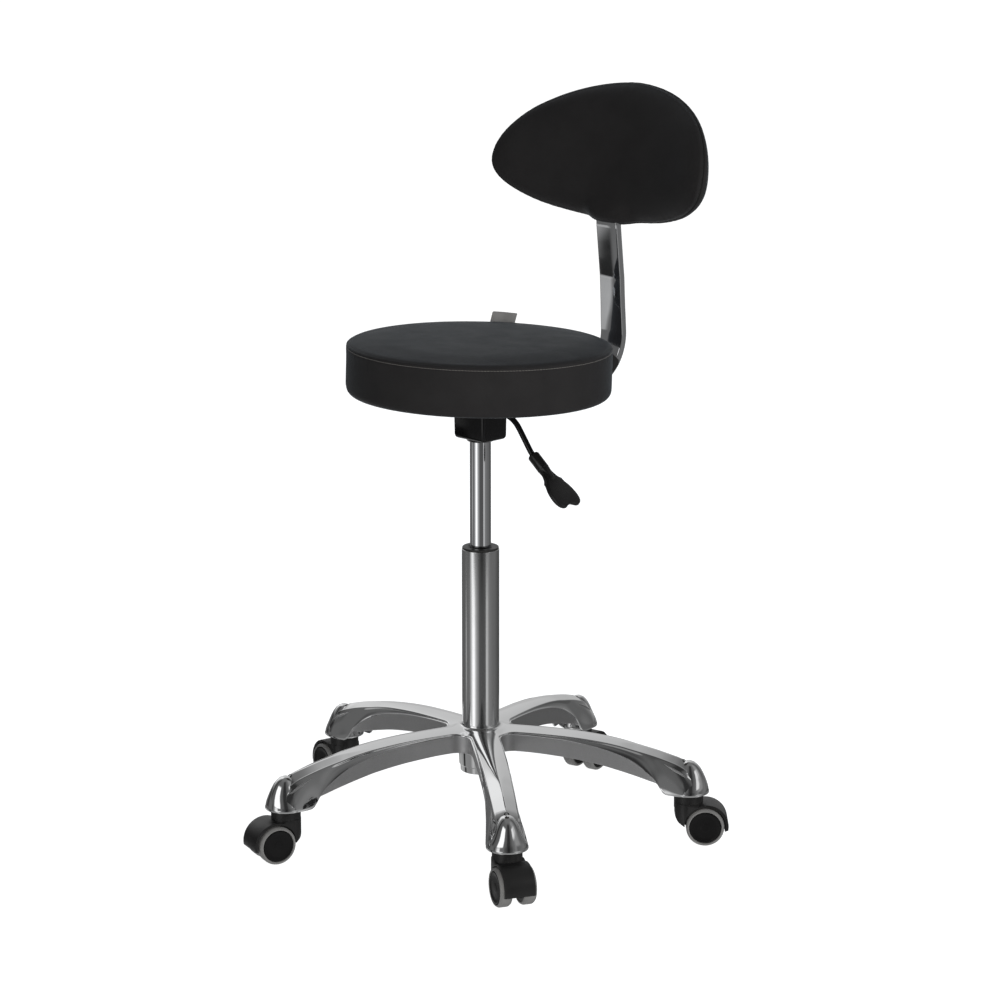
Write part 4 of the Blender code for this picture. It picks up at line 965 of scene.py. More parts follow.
def seat_profile():
    """(r, z) from the middle of the top to the hem, the seam's row and the band's last row."""
    shoulder = SEAT_R - 0.0085
    profile = []
    for k in range(22):
        r = shoulder * (k / 21) ** 0.85
        profile.append((r, EDGE_H - 0.0012 + (CROWN - 0.0020) * (1 - (r / SEAT_R) ** 2.4)))
    for degrees in (16, 30, 42, 53, 64, 76, 88):
        profile.append((shoulder + 0.0075 * math.sin(math.radians(degrees)),
                        EDGE_H - 0.0064 + 0.0054 * math.cos(math.radians(degrees))))
    seam = len(profile) - 2
    band_top = EDGE_H - 0.0110
    profile += [(SEAT_R - 0.0009, EDGE_H - 0.0068), (SEAT_R - 0.0009, EDGE_H - 0.0076),
                (SEAT_R - 0.0008, EDGE_H - 0.0086), (SEAT_R - 0.0008, band_top)]
    profile += [(SEAT_R - 0.0010, band_top - (band_top - 0.0125) * f)
                for f in (0.12, 0.25, 0.38, 0.5, 0.62, 0.75, 0.88, 1.0)]
    band_end = len(profile) - 1
    for degrees in (15, 30, 45, 60, 75, 90):
        profile.append((SEAT_R - 0.0113 + 0.0103 * math.cos(math.radians(degrees)),
                        0.0112 - 0.0108 * math.sin(math.radians(degrees))))
    profile += [(SEAT_R - 0.0180, 0.0002), (0.1530, 0.0001), (0.1482, 0.0002),
                (0.1480, 0.0010), (0.1520, 0.0012)]
    return profile, seam, band_end


def worked_leather(point):
    """A point of the seat's covering, moved for dents, seam tuck, puckers and pleats."""
    x, y, z = point
    moved = Vector((x, y, z))
    r = math.hypot(x, y)
    if r <= 1e-6:
        return moved
    turn = math.atan2(y, x)
    outward = Vector((x / r, y / r, 0))
    soft = noise.noise(Vector((x * 13, y * 13, z * 22 + 5.0))) * 0.00055
    if r > SEAT_R - 0.012 and z > 0.012:
        # tucked seam line with small puckers running down from it
        groove = math.exp(-((z - SEAM_Z) / 0.0009) ** 2) * 0.00095
        wander = 2.2 * noise.noise(Vector((turn * 4, 0, 1)))
        uneven = 0.00034 * noise.noise(Vector((x * 90, y * 90, z * 14)))
        pucker = (math.exp(-abs(z - SEAM_Z + 0.004) / 0.010)
                  * (0.00016 * math.sin(turn * 92 + wander) + uneven))
        row_pull = math.exp(-((z - STITCH_Z) / 0.0010) ** 2) * 0.00040
        moved -= outward * (groove + row_pull) - outward * (pucker + soft)
    elif z >= EDGE_H - 0.012:
        uneven = noise.noise(Vector((x * 60, y * 60, 2.0)))
        moved.z += soft * 0.9 + math.exp(-(SEAT_R - 0.006 - r) / 0.012) * 0.00022 * uneven
    elif z < 0.004 and r < SEAT_R - 0.008:
        # pleats of the turned-under hem
        pleat = smoothstep(SEAT_R - 0.006, SEAT_R - 0.022, r)
        wander = 1.5 * noise.noise(Vector((turn * 3, 0, 7)))
        moved.z -= pleat * 0.00055 * abs(math.sin(turn * 30 + wander))
    return moved


def seat_cover():
    profile, seam, band_end = seat_profile()
    shape = bmesh.new()
    rows = lathe(shape, profile, 160)
    shape.verts.index_update()
    pins = {}
    for i, row in enumerate(rows):
        for v in set(row):
            if i >= band_end:
                pins[v.index] = 1.0
            elif seam - 2 <= i <= seam:
                pins[v.index] = 0.85
            elif i == 0:
                pins[v.index] = 0.0
    bmesh.ops.recalc_face_normals(shape, faces=shape.faces)
    mesh = raw_mesh(shape, "seat_cushion_cover")
    if max(mesh.polygons, key=lambda face: face.center.z).normal.z < 0:
        mesh.flip_normals()
    covering = add_object("seat_cushion_cover", mesh, LEATHER)
    simulate(covering, pins, pressure=3.5, limit=0.0028, passes=14)
    subdivide(covering)
    mesh = covering.data
    for v in mesh.vertices:
        v.co = worked_leather(v.co)
    mesh.update()
    mesh.transform(CUSHION)
    mesh.shade_smooth()
    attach(covering, "seat")
    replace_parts(covering, "seat_cover")
    return covering


def seat_stitches(covering):
    tree = BVHTree.FromObject(covering, bpy.context.evaluated_depsgraph_get())
    shape = bmesh.new()
    count = 268
    reach = SEAT_R + 0.03

    def on_surface(turn, z):
        start = CUSHION @ Vector((math.cos(turn) * reach, math.sin(turn) * reach, z))
        inward = CUSHION.to_3x3() @ Vector((-math.cos(turn), -math.sin(turn), 0))
        hit, normal, _, _ = tree.ray_cast(start, inward.normalized())
        return (hit + normal * 0.00012) if hit is not None else None

    for k in range(count):
        start = on_surface(math.tau * (k + 0.12) / count, STITCH_Z + 0.00012)
        end = on_surface(math.tau * (k + 0.80) / count, STITCH_Z - 0.00012)
        if start is not None and end is not None:
            capsule(shape, start, end, 0.00034)
    add_part("seat_stitching", shape, THREAD, "seat", sharp=60)


def seat_tab():
    """Small sewn-in tab that stands up at the rear of the top seam."""
    turn = math.radians(125.0)
    outward = Vector((math.cos(turn), math.sin(turn), 0))
    side = Vector((-math.sin(turn), math.cos(turn), 0))
    width, columns, levels = 0.0340, 20, 12
    shape = bmesh.new()
    faces, rims = [], []
    for layer in (0.0005, -0.0005):
        rows = []
        for j in range(levels + 1):
            rise = j / levels
            row = []
            for i in range(columns + 1):
                u = i / columns - 0.5
                height = -0.008 + rise * (0.0198 + 0.0014 * u)
                bow = 0.0016 * math.cos(u * 2.4) * rise + 0.0005 * math.sin(u * 9 + 1)
                round_off = 0.0006 * (abs(u) * 2) ** 24 * rise ** 12
                point = (outward * (SEAT_R - 0.0040 + bow + layer)
                         + side * (u * width - 0.0045 * rise + 0.0010)
                         + Vector((0, 0, EDGE_H + height - round_off)))
                row.append(shape.verts.new(CUSHION @ point))
            rows.append(row)
        faces.append(rows)
        rims.append(rows[0] + [row[-1] for row in rows[1:]] + rows[-1][-2::-1]
                    + [row[0] for row in rows[-2:0:-1]])
    for rows in faces:
        grid_faces(shape, rows)
    grid_faces(shape, rims, True)
    add_part("seat_tab", shape, TAB, "seat", sharp=50)


def seat_board():
    board_r = 0.1600
    profile = [(0, 0.0135), (board_r, 0.0135, 0.0012), (board_r, 0.0015, 0.0012), (0, 0.0015)]
    add_part("seat_board_ply", turned(profile, 120, CUSHION), PLY, "seat", "seat_board")


def seat_staples():
    """Uneven ring of staples through the hem."""
    shape = bmesh.new()
    count, half_length = 56, 0.0055
    for k in range(count):
        turn = math.tau * (k + 0.3 * math.sin(k * 2.3)) / count
        outward = Vector((math.cos(turn), math.sin(turn), 0))
        along = Vector((-math.sin(turn), math.cos(turn), 0))
        middle = outward * (0.1530 + 0.0012 * math.sin(k * 1.7)) + Vector((0, 0, -0.0010))
        capsule(shape, CUSHION @ (middle - along * half_length),
                CUSHION @ (middle + along * half_length), 0.0004, 6)
    add_part("seat_staples", shape, ZINC, "seat", sharp=60)


cover = seat_cover()
seat_stitches(cover)
seat_tab()
seat_board()
seat_staples()

# ------------------------------------------------------------------ mechanism under the seat
HOUSING_HALF_X, HOUSING_HALF_Y = 0.0289, 0.0227
HOUSING = (                                    # z, growth of the half widths, corner radius
    (0.5414, -0.0052, 0.003), (0.5417, -0.0034, 0.004), (0.5426, -0.0018, 0.0045),
    (0.5444, -0.0007, 0.005), (0.5470, -0.0002, 0.0052), (0.5700, 0.0001, 0.0052),
    (0.5862, 0.0003, 0.0052), (0.5872, 0.0006, 0.0056), (0.5878, 0.0014, 0.006),
    (0.5896, 0.0019, 0.006), (0.5988, 0.0021, 0.006),
)
FLANGE_OVALS = (                               # x, y, half width, half length
    (-0.043, 0.0, 0.006, 0.030), (0.043, 0.0, 0.006, 0.030),
    (-0.040, 0.072, 0.012, 0.018), (0.040, 0.072, 0.012, 0.018),
)


def mechanism():
    shape = bmesh.new()
    # flange with rounded corners and raised ovals on its underside
    prism(shape, rectangle(-0.0650, -0.0750, 0.0650, 0.1050, 0.010), -0.0018, 0.0011,
          bevel=0.0007, segments=2, matrix=SEAT)
    for x, y, half_x, half_y in FLANGE_OVALS:
        prism(shape, rectangle(x - half_x, y - half_y, x + half_x, y + half_y, half_x * 0.98),
              -0.0034, -0.0010, bevel=0.0011, matrix=SEAT)
    # housing: tapered box with rounded vertical corners and a lip round its top
    rings = []
    for z, growth, radius in HOUSING:
        half_x, half_y = HOUSING_HALF_X + growth, HOUSING_HALF_Y + growth
        outline = rounded(rectangle(-half_x, -half_y, half_x, half_y, radius), step=12)
        rings.append([shape.verts.new(COLUMN @ Vector((x, y, z))) for x, y in outline])
    loft(shape, rings)
    # socket neck
    lathe(shape, [(0.0143, 0.5385, 0.0004), (0.0176, 0.5385, 0.0012), (0.0190, 0.5412, 0.0010),
                  (0.0196, 0.5450), (0.0143, 0.5450)], 72, COLUMN, closed=True)
    # gusset ribs between the housing and the flange
    for sign in (-1, 1):
        rib = [(sign * 0.0270, 0.5720), (sign * 0.0520, 0.5965), (sign * 0.0270, 0.5965)]
        for y in (-0.012, 0.012):
            loft(shape, [[shape.verts.new(COLUMN @ Vector((x, y + offset, z))) for x, z in rib]
                         for offset in (-0.0012, 0.0012)])
    add_part("seat_mechanism", shape, ENAMEL, "seat", "seat_plate")


def hex_bolt(matrix, shank):
    """Washer and chamfered hexagonal head below z = 0, shank above."""
    across_flats, head, shank_r = 0.0100, 0.0040, 0.0030
    washer_r, seat_z = 0.0075, -0.0012
    shape = turned([(shank_r, 0), (washer_r, 0, 0.0003), (washer_r, seat_z, 0.0003),
                    (shank_r, seat_z)], 36, matrix, closed=True)
    radius = across_flats / 2 / math.cos(math.pi / 6)
    rings = []
    for depth, narrowing in ((0.0, 1.0), (0.82, 1.0), (0.96, 0.93), (1.0, 0.84)):
        r, z = radius * narrowing, seat_z - head * depth
        rings.append([shape.verts.new(matrix @ Vector((r * math.cos(math.tau * k / 6),
                                                       r * math.sin(math.tau * k / 6), z)))
                      for k in range(6)])
    loft(shape, rings)
    lathe(shape, [(0, shank), (shank_r * 0.85, shank), (shank_r, shank - 0.0006),
                  (shank_r, seat_z - 0.0004), (0, seat_z - 0.0004)], 24, matrix)
    return shape


mechanism()
for kind, places, under, shank in (
        ("plate_bolt", ((-0.0500, -0.0600), (0.0500, -0.0600)), -0.0021, 0.013),
        ("bar_bolt", ((0.0, 0.0450), (0.0, 0.0900)), -0.0126, 0.023)):
    for n, (x, y) in enumerate(places, 1):
        add_part(f"{kind}_{n}_hex", hex_bolt(SEAT @ Matrix.Translation((x, y, under)), shank),
                 ZINC, "seat", f"{kind}_{n}", sharp=30)

# ------------------------------------------------------------------ lever
LEVER_DROP = math.radians(38.7)
LEVER_ALONG = Vector((math.cos(LEVER_DROP), 0, -math.sin(LEVER_DROP)))
LEVER_BEND = Vector((AXIS_X + 0.0393, AXIS_Y, LEVER_Z))
GRIP_START = 0.0757                            # from the bend to the grip's own origin
ROD_PATH = (                                   # (x from the column, z)
    (0.012, LEVER_Z), (0.030, LEVER_Z), (0.0400, 0.5804), (0.0500, 0.5797), (0.0570, 0.5776),
    (0.0630, 0.5743), (0.0680, 0.5702), (0.0718, 0.5660), (0.0757, 0.5610), (0.0837, 0.5504),
    (0.0917, 0.5398), (0.0943, 0.5368), (0.0972, 0.5340),
)
PADDLE = [                                     # (along, half width): waist, lobe, end notch
    (0.010, 0.0070), (0.026, 0.0074), (0.033, 0.0084), (0.039, 0.0106), (0.045, 0.0136),
    (0.051, 0.0166), (0.057, 0.0192), (0.063, 0.0208), (0.069, 0.0217), (0.0745, 0.0219),
    (0.0795, 0.0212), (0.0838, 0.0195), (0.0868, 0.0168), (0.0884, 0.0138), (0.0888, 0.0108),
    (0.0880, 0.0078), (0.0864, 0.0048), (0.0852, 0.0022),
]
GRIP_COLLAR = [
    (0.0034, -0.0010), (0.0070, -0.0010, 0.0008), (0.0080, 0.0006, 0.0008),
    (0.0080, 0.0235, 0.001), (0.0076, 0.0245, 0.0005), (0.0076, 0.0262, 0.0005),
    (0.0072, 0.0300, 0.002), (0.0052, 0.0420, 0.004), (0.0030, 0.0480, 0.001), (0, 0.0480),
]


def lever_rod():
    """Round bar from inside the housing, bent down, into the grip."""
    centres = [Vector((AXIS_X - 0.0055, AXIS_Y, LEVER_Z))]
    centres += [Vector((AXIS_X + x, AXIS_Y, z)) for x, z in ROD_PATH]
    for _ in range(2):                         # soften the corners of the bend
        pairs = zip(centres, centres[1:])
        cut = [point for near, far in pairs for point in (near.lerp(far, 0.25), near.lerp(far, 0.75))]
        centres = [centres[0], *cut, centres[-1]]
    for reach in (0.008, 0.018, 0.0295):
        centres.append(LEVER_BEND + LEVER_ALONG * (GRIP_START + reach))
    shape = bmesh.new()
    rings = []
    count = 24
    side = Vector((0, 1, 0))
    for i, centre in enumerate(centres):
        radius = 0.0030 + 0.0008 * smoothstep(AXIS_X + 0.036, AXIS_X + 0.046, centre.x)
        ahead = centres[min(i + 1, len(centres) - 1)]
        along = (ahead - centres[max(i - 1, 0)]).normalized()
        up = along.cross(side).normalized()
        turns = [math.tau * k / count for k in range(count)]
        rings.append([shape.verts.new(
            centre + (side * math.cos(turn) + up * math.sin(turn)) * radius) for turn in turns])
    loft(shape, rings)
    add_part("lever_rod_bent", shape, ENAMEL, "lever", "lever_rod", sharp=40)


def lever_grip():
    """Paddle with a waist, two lobes and a notch, on a round collar."""
    shape = bmesh.new()
    prism(shape, PADDLE + [(0.0848, 0.0)] + [(x, -y) for x, y in PADDLE[::-1]],
          -0.0043, 0.0043, bevel=0.0030, segments=5)
    paddle = mesh_of(shape, "grip_paddle")
    # the paddle thins and dishes a little towards its end
    for v in paddle.vertices:
        thin = smoothstep(0.030, 0.085, v.co.x)
        dish = 0.0011 * math.exp(-((v.co.x - 0.066) / 0.016) ** 2 - (v.co.y / 0.013) ** 2)
        v.co.z = v.co.z * (1 - 0.25 * thin) - math.copysign(dish, v.co.z)
    shape = bmesh.new()
    shape.from_mesh(paddle)
    bpy.data.meshes.remove(paddle)
    lathe(shape, GRIP_COLLAR, 48, Matrix.Rotation(math.radians(90), 4, "Y"))
    place = (Matrix.Translation(LEVER_BEND + LEVER_ALONG * GRIP_START)
             @ Matrix.Rotation(LEVER_DROP, 4, "Y"))
    add_part("lever_grip_paddle", mesh_of(shape, "lever_grip_paddle", place), GRIP, "lever",
             "lever_grip", sharp=40)


lever_rod()
lever_grip()

# ------------------------------------------------------------------ backrest bar
ELBOW_R, ELBOW_Y, ELBOW_Z = 0.0630, 0.1929, 0.6504     # centre line of the elbow
BAR_HALF_WIDTH, BAR_HALF_THICK = 0.0200, 0.0050
# the upright leans forward by LEAN, then by UPPER_LEAN; the pad's end leans back by BACK_LEAN
LEAN, UPPER_LEAN, BACK_LEAN = math.radians(2.8), math.radians(6.1), math.radians(13.5)
SOFT_BEND_Z, KINK_Z, KINK_R = 0.7240, 0.7954, 0.05
BAR_TOP = top("back_bar") - 0.0009


def leaning_run(last, z_end, lean, direction, fractions):
    """Points part way up a straight run, and the (y, z) of its end."""
    end = (last[0] - (z_end - last[1]) * math.tan(lean), z_end)
    return [(last[0] + (end[0] - last[0]) * f, last[1] + (end[1] - last[1]) * f, direction)
            for f in fractions], end


def bar_line():
    """Centre line of the bar as (y, z, direction) in the column's frame."""
    start_y = 0.0300
    start_z = SEAT_Z + start_y * math.tan(TILT) - 0.0072
    line = [(start_y, start_z, TILT)]
    for f in (0.35, 0.7):
        y = start_y + (ELBOW_Y - start_y) * f
        line.append((y, start_z + (y - start_y) * math.tan(TILT), TILT))
    lower, upper = math.pi / 2 + LEAN, math.pi / 2 + UPPER_LEAN
    for k in range(33):
        turn = TILT + (lower - TILT) * k / 32
        line.append((ELBOW_Y + ELBOW_R * math.sin(turn), ELBOW_Z - ELBOW_R * math.cos(turn), turn))
    points, bend = leaning_run(line[-1], SOFT_BEND_Z, LEAN, lower, (0.25, 0.5, 0.75))
    line += points
    for k in range(7):                         # soft bend part way up
        line.append((bend[0] - (k / 6) ** 1.5 * 0.0009, bend[1] + k * 0.0016,
                     lower + (upper - lower) * k / 6))
    points, kink = leaning_run(line[-1], KINK_Z, UPPER_LEAN, upper, (0.33, 0.66))
    line += points
    back = math.pi / 2 - BACK_LEAN
    for k in range(13):
        turn = upper + (back - upper) * k / 12
        line.append((kink[0] + KINK_R * (math.sin(upper) - math.sin(turn)),
                     kink[1] + KINK_R * (math.cos(turn) - math.cos(upper)), turn))
    y, z, _ = line[-1]
    run = (BAR_TOP - z) / math.sin(back)
    for f in (0.5, 1.0):
        line.append((y + run * f * math.cos(back), z + run * f * math.sin(back), back))
    return line


def back_bar():
    section = rounded(rectangle(-BAR_HALF_WIDTH, -BAR_HALF_THICK, BAR_HALF_WIDTH, BAR_HALF_THICK,
                                0.0018), step=16)
    shape = bmesh.new()
    rings = []
    for y, z, direction in bar_line():
        normal = Vector((0, -math.sin(direction), math.cos(direction)))
        # above the elbow the bar is twisted a little
        twist = Matrix.Rotation(math.radians(-3.0) * smoothstep(0.655, 0.70, z), 3, "Z")
        rings.append([shape.verts.new(COLUMN @ (
            Vector((0, y, z)) + twist @ (Vector((u, 0, 0)) + normal * v))) for u, v in section])
    loft(shape, rings)
    add_part("back_bar_chrome", shape, CHROME, "seat", "back_bar", sharp=30)


def bar_bumper():
    """Rubber wedge in the elbow, outlined in (y, z, radius)."""
    inner = ELBOW_R - 0.0050 - 0.0005
    outline = [(0.1842, SEAT_Z + 0.0325, 0.002), (0.2050, SEAT_Z + 0.0320, 0.004),
               (0.2216, SEAT_Z + 0.0294, 0.004), (0.2356, SEAT_Z + 0.0180, 0.001)]
    outline += [(ELBOW_Y + inner * math.cos(math.radians(degrees)),
                 ELBOW_Z + inner * math.sin(math.radians(degrees)))
                for degrees in range(-43, -76, -4)]
    outline += [(0.1842, SEAT_Z + 0.0012, 0.001)]
    quarter = math.radians(90)
    shape = bmesh.new()
    prism(shape, outline, -0.0298, 0.0298, bevel=0.0022, segments=4,
          matrix=COLUMN @ Matrix.Rotation(quarter, 4, "Z") @ Matrix.Rotation(quarter, 4, "X"))
    add_part("bar_bumper_rubber", shape, RUBBER, "seat", "bar_bumper")


back_bar()
bar_bumper()

# ------------------------------------------------------------------ backrest pad
PAD_Y, PAD_Z = 0.2712, 0.8639                  # middle of the pad, from the column
PAD_HALF_W, PAD_UP, PAD_DOWN = 0.2069, 0.1281, 0.0633
POWER_UP, POWER_DOWN = 1.79, 2.31              # superellipse powers of the outline
PAD_CURVE, PAD_THICK = 0.3527, 0.0570
PAD_SHRINK = 0.0022                            # room for the covering to swell
# rings from the middle of a face to the seam, as fractions of a quarter turn
PAD_STEPS = [0.0, 0.06, 0.12, 0.18, 0.24, 0.30, 0.36, 0.42, 0.48, 0.54, 0.60, 0.66, 0.72, 0.77,
             0.82, 0.86, 0.895, 0.925, 0.948, 0.966, 0.980, 0.989, 0.9945, 0.9976, 1.0]


def pad_point(u, v, depth):
    """A place on the pad: u across, v up, depth towards the rear."""
    turn = u / PAD_CURVE
    x = (PAD_CURVE + depth) * math.sin(turn)
    flat = (PAD_CURVE + depth) * math.cos(turn) - PAD_CURVE
    y = PAD_Y + flat * math.cos(BACK_LEAN) + v * math.sin(BACK_LEAN)
    z = PAD_Z - flat * math.sin(BACK_LEAN) + v * math.cos(BACK_LEAN)
    # the covering is stretched over the bar where the bar enters the pad's lower edge
    over = math.exp(-(u / 0.036) ** 4) * smoothstep(-0.030, -0.060, v)
    y -= over * 0.0150
    z -= over * 0.0030
    return Vector((x + AXIS_X, y + AXIS_Y, z))


def pad_rows(shape, count):
    """Rings of vertices from the middle of the rear over the seam to the middle of the front."""
    half_thick = PAD_THICK / 2 - PAD_SHRINK
    rows = []
    for side, steps in ((1, PAD_STEPS), (-1, PAD_STEPS[-2::-1])):
        for step in steps:
            rho = math.sin(step * math.pi / 2)
            if rho < 1e-6:
                rows.append([shape.verts.new(pad_point(0, 0.0, side * half_thick))] * count)
                continue
            row = []
            for j in range(count):
                turn = math.tau * j / count
                c, s = math.cos(turn), math.sin(turn)
                power, extent = (POWER_UP, PAD_UP) if s >= 0 else (POWER_DOWN, PAD_DOWN)
                reach = (abs(c) ** power + abs(s) ** power) ** (-1 / power)
                u = c * reach * (PAD_HALF_W - PAD_SHRINK)
                v = s * reach * (extent - PAD_SHRINK)
                swell = max(0.0, 1 - rho ** 3.0) ** (1 / 2.1)
                row.append(shape.verts.new(pad_point(u * rho, v * rho, side * swell * half_thick)))
            rows.append(row)
    return rows


def tuck_pad_seam(mesh, seam):
    """A narrow tuck with a small swelling each side, and fine pulled creases across it."""
    tree = KDTree(len(seam))
    for i, point in enumerate(seam):
        tree.insert(point, i)
    tree.balance()
    normals = [v.normal.copy() for v in mesh.vertices]
    for v, normal in zip(mesh.vertices, normals):
        _, i, gap = tree.find(v.co)
        tuck = (-0.0021 * math.exp(-(gap / 0.0011) ** 2)
                + 0.0007 * math.exp(-((gap - 0.0042) / 0.0026) ** 2))
        crease = noise.noise(Vector((i / len(seam) * 190, gap * 25, 3.0)))
        pull = 0.00042 * math.exp(-gap / 0.013) * crease
        soft = 0.0006 * noise.noise(v.co * 17)
        v.co += normal * (tuck + pull + soft)
    mesh.update()


def pad_seam_shade_line(seam):
    """Dark thin tube in the tuck, painted shade that makes the seam's groove read as a crisp dark line."""
    shape = bmesh.new()
    middle = sum(seam, Vector()) / len(seam)
    rows = []
    for i, point in enumerate(seam):
        along = (seam[(i + 4) % len(seam)] - seam[i - 4]).normalized()
        outward = point - middle
        outward = (outward - along * outward.dot(along)).normalized()
        across = along.cross(outward)
        centre = point - outward * 0.0011
        turns = [math.tau * k / 8 for k in range(8)]
        rows.append([shape.verts.new(
            centre + (outward * math.cos(turn) + across * math.sin(turn)) * 0.0007)
            for turn in turns])
    grid_faces(shape, rows, True, True)
    add_part("back_pad_seam_shade_line", shape, RUBBER, "seat", sharp=60)


def back_pad():
    shape = bmesh.new()
    rows = pad_rows(shape, 160)
    grid_faces(shape, rows, True)
    shape.verts.index_update()
    seam_row = len(PAD_STEPS) - 1
    pins = {}
    for i, weight in ((seam_row - 1, 0.35), (seam_row, 1.0), (seam_row + 1, 0.35)):
        for v in rows[i]:
            pins[v.index] = weight
    orient(shape)
    mesh = raw_mesh(shape, "back_pad_cover")
    loop = [mesh.vertices[i].co.copy() for i in sorted(pins) if pins[i] == 1.0]
    covering = add_object("back_pad_cover", mesh, LEATHER)
    simulate(covering, pins, pressure=3.0, limit=0.0022, passes=60)
    subdivide(covering)
    seam = [start.lerp(end, f / 6) for start, end in zip(loop, loop[1:] + loop[:1])
            for f in range(6)]
    tuck_pad_seam(covering.data, seam)
    covering.data.shade_smooth()
    # dark tube along the seam: painted shade of the groove
    pad_seam_shade_line(seam)
    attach(covering, "seat")
    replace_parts(covering, "back_cover")
    return covering


pad = back_pad()
# the foam inside stays as the frame holds it, out of sight
for covering, filling in ((cover, "seat_foam"), (pad, "back_foam")):
    frame["nodes"][filling].hide_render = True
    covering["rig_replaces"] = sorted(list(covering["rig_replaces"]) + [filling])
    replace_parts(covering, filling)

# ------------------------------------------------------------------ stage
scene = bpy.context.scene
scene.view_settings.view_transform = "Standard"
scene.view_settings.look = "None"
scene.view_settings.exposure = 0.0
scene.view_settings.gamma = 1.0


def floor():
    mat = Material("floor_pale")
    tone = mat.mix(mat.noise(scale=3, detail=3), (0.225, 0.225, 0.225), (0.235, 0.235, 0.235))
    pale = mat.surface(Base_Color=tone, Roughness=0.9, Specular_IOR_Level=0.0,
                       Emission_Color=(1, 1, 1, 1), Emission_Strength=0.97)
    shape = bmesh.new()
    bmesh.ops.create_grid(shape, x_segments=8, y_segments=8, size=14.0)
    ground = add_object("studio_ground", raw_mesh(shape, "studio_ground"), pale)
    ground.visible_glossy = False


floor()

# ------------------------------------------------------------------ world
# Brightness seen by reflections, as (azimuth in degrees from +X towards +Y, value). The camera
# looks from azimuth -45, so its left is towards -Y and its right towards +X.
HORIZON = ((-180, 0.09), (-142, 0.10), (-116, 0.14), (-102, 0.50), (-94, 1.0), (-83, 1.0),
           (-75, 0.42), (-62, 0.22), (-50, 0.075), (-26, 0.070), (-15, 0.08), (-9, 0.46),
           (-1, 0.42), (4, 0.24), (12, 0.16), (40, 0.12), (95, 0.06), (140, 0.06), (160, 0.09),
           (180, 0.09))
MIDDLE_BAND = ((-180, 0.09), (-168, 0.02), (-158, 0.07), (-146, 0.13), (-132, 0.13),
               (-118, 0.06), (-108, 0.30), (-102, 0.80), (-92, 0.90), (-84, 0.16), (-68, 0.15),
               (-56, 0.07), (-36, 0.015), (-22, 0.06), (-8, 0.13), (6, 0.20), (18, 0.12),
               (60, 0.17), (78, 0.12), (96, 0.20), (112, 0.36), (126, 0.50), (146, 0.52),
               (160, 0.16), (180, 0.10))
SKY = ((-180, 0.62), (-168, 0.22), (-154, 0.13), (-144, 0.015), (-134, 0.10), (-118, 0.12),
       (-76, 0.14), (-56, 0.11), (-44, 0.03), (-32, 0.03), (-20, 0.10), (-6, 0.15), (18, 0.28),
       (36, 0.26), (50, 0.16), (64, 0.08), (76, 0.17), (90, 0.26), (102, 0.40), (120, 0.54),
       (138, 0.60), (150, 0.66), (160, 0.92), (174, 0.86))
LOW = ((-180, 0.55), (-165, 0.42), (-152, 0.26), (-104, 0.24), (-86, 0.52), (-74, 0.30),
       (4, 0.30), (14, 0.55), (24, 0.28), (56, 0.14), (84, 0.20), (112, 0.26), (128, 0.68),
       (180, 0.70))
LEFT_BOX = ((-180, 0.0), (-112, 0.0), (-105, 1.0), (-76, 1.0), (-68, 0.0), (180, 0.0))
RIGHT_BOX = ((-180, 0.0), (-5, 0.0), (1, 1.0), (14, 1.0), (20, 0.45), (30, 0.45), (38, 0.0),
             (180, 0.0))
STRIP_SECTOR = ((-180, 0.0), (-152, 0.0), (-148, 1.0), (-139, 1.0), (-137, 0.0), (180, 0.0))
# brightness that lights matt surfaces
DIFFUSE = ((-180, 0.30), (-125, 0.12), (-85, 0.22), (-42, 1.0), (15, 1.15), (70, 0.9),
           (140, 0.6), (180, 0.45))
# masks by height, 0 straight down, 0.5 level, 1 straight up
ABOVE_LEVEL = ((0.0, 0.0), (0.530, 0.0), (0.60, 1.0), (1.0, 1.0))
ABOVE_HORIZON = ((0.0, 0.0), (0.405, 0.0), (0.430, 1.0), (1.0, 1.0))
ABOVE_BAND = ((0.0, 0.0), (0.545, 0.0), (0.610, 1.0), (1.0, 1.0))
LEFT_ROWS = ((0.0, 0.0), (0.57, 0.0), (0.60, 1.0), (0.80, 1.0), (0.85, 0.0), (1.0, 0.0))
RIGHT_ROWS = ((0.0, 0.0), (0.65, 0.0), (0.70, 1.0), (0.79, 1.0), (0.83, 0.0), (1.0, 0.0))
ZENITH = ((0.0, 0.0), (0.91, 0.0), (0.98, 1.0), (1.0, 1.0))
DOWNWARD = ((0.0, 1.0), (0.28, 1.0), (0.355, 0.0), (1.0, 0.0))
STRIP_ROWS = ((0.0, 1.0), (0.393, 1.0), (0.400, 0.0), (1.0, 0.0))
# brightness of the strip by height
STRIP = ((0.0, 0.02), (0.350, 0.02), (0.361, 0.30), (0.372, 0.42), (0.392, 0.36),
         (0.400, 0.10), (1.0, 0.10))


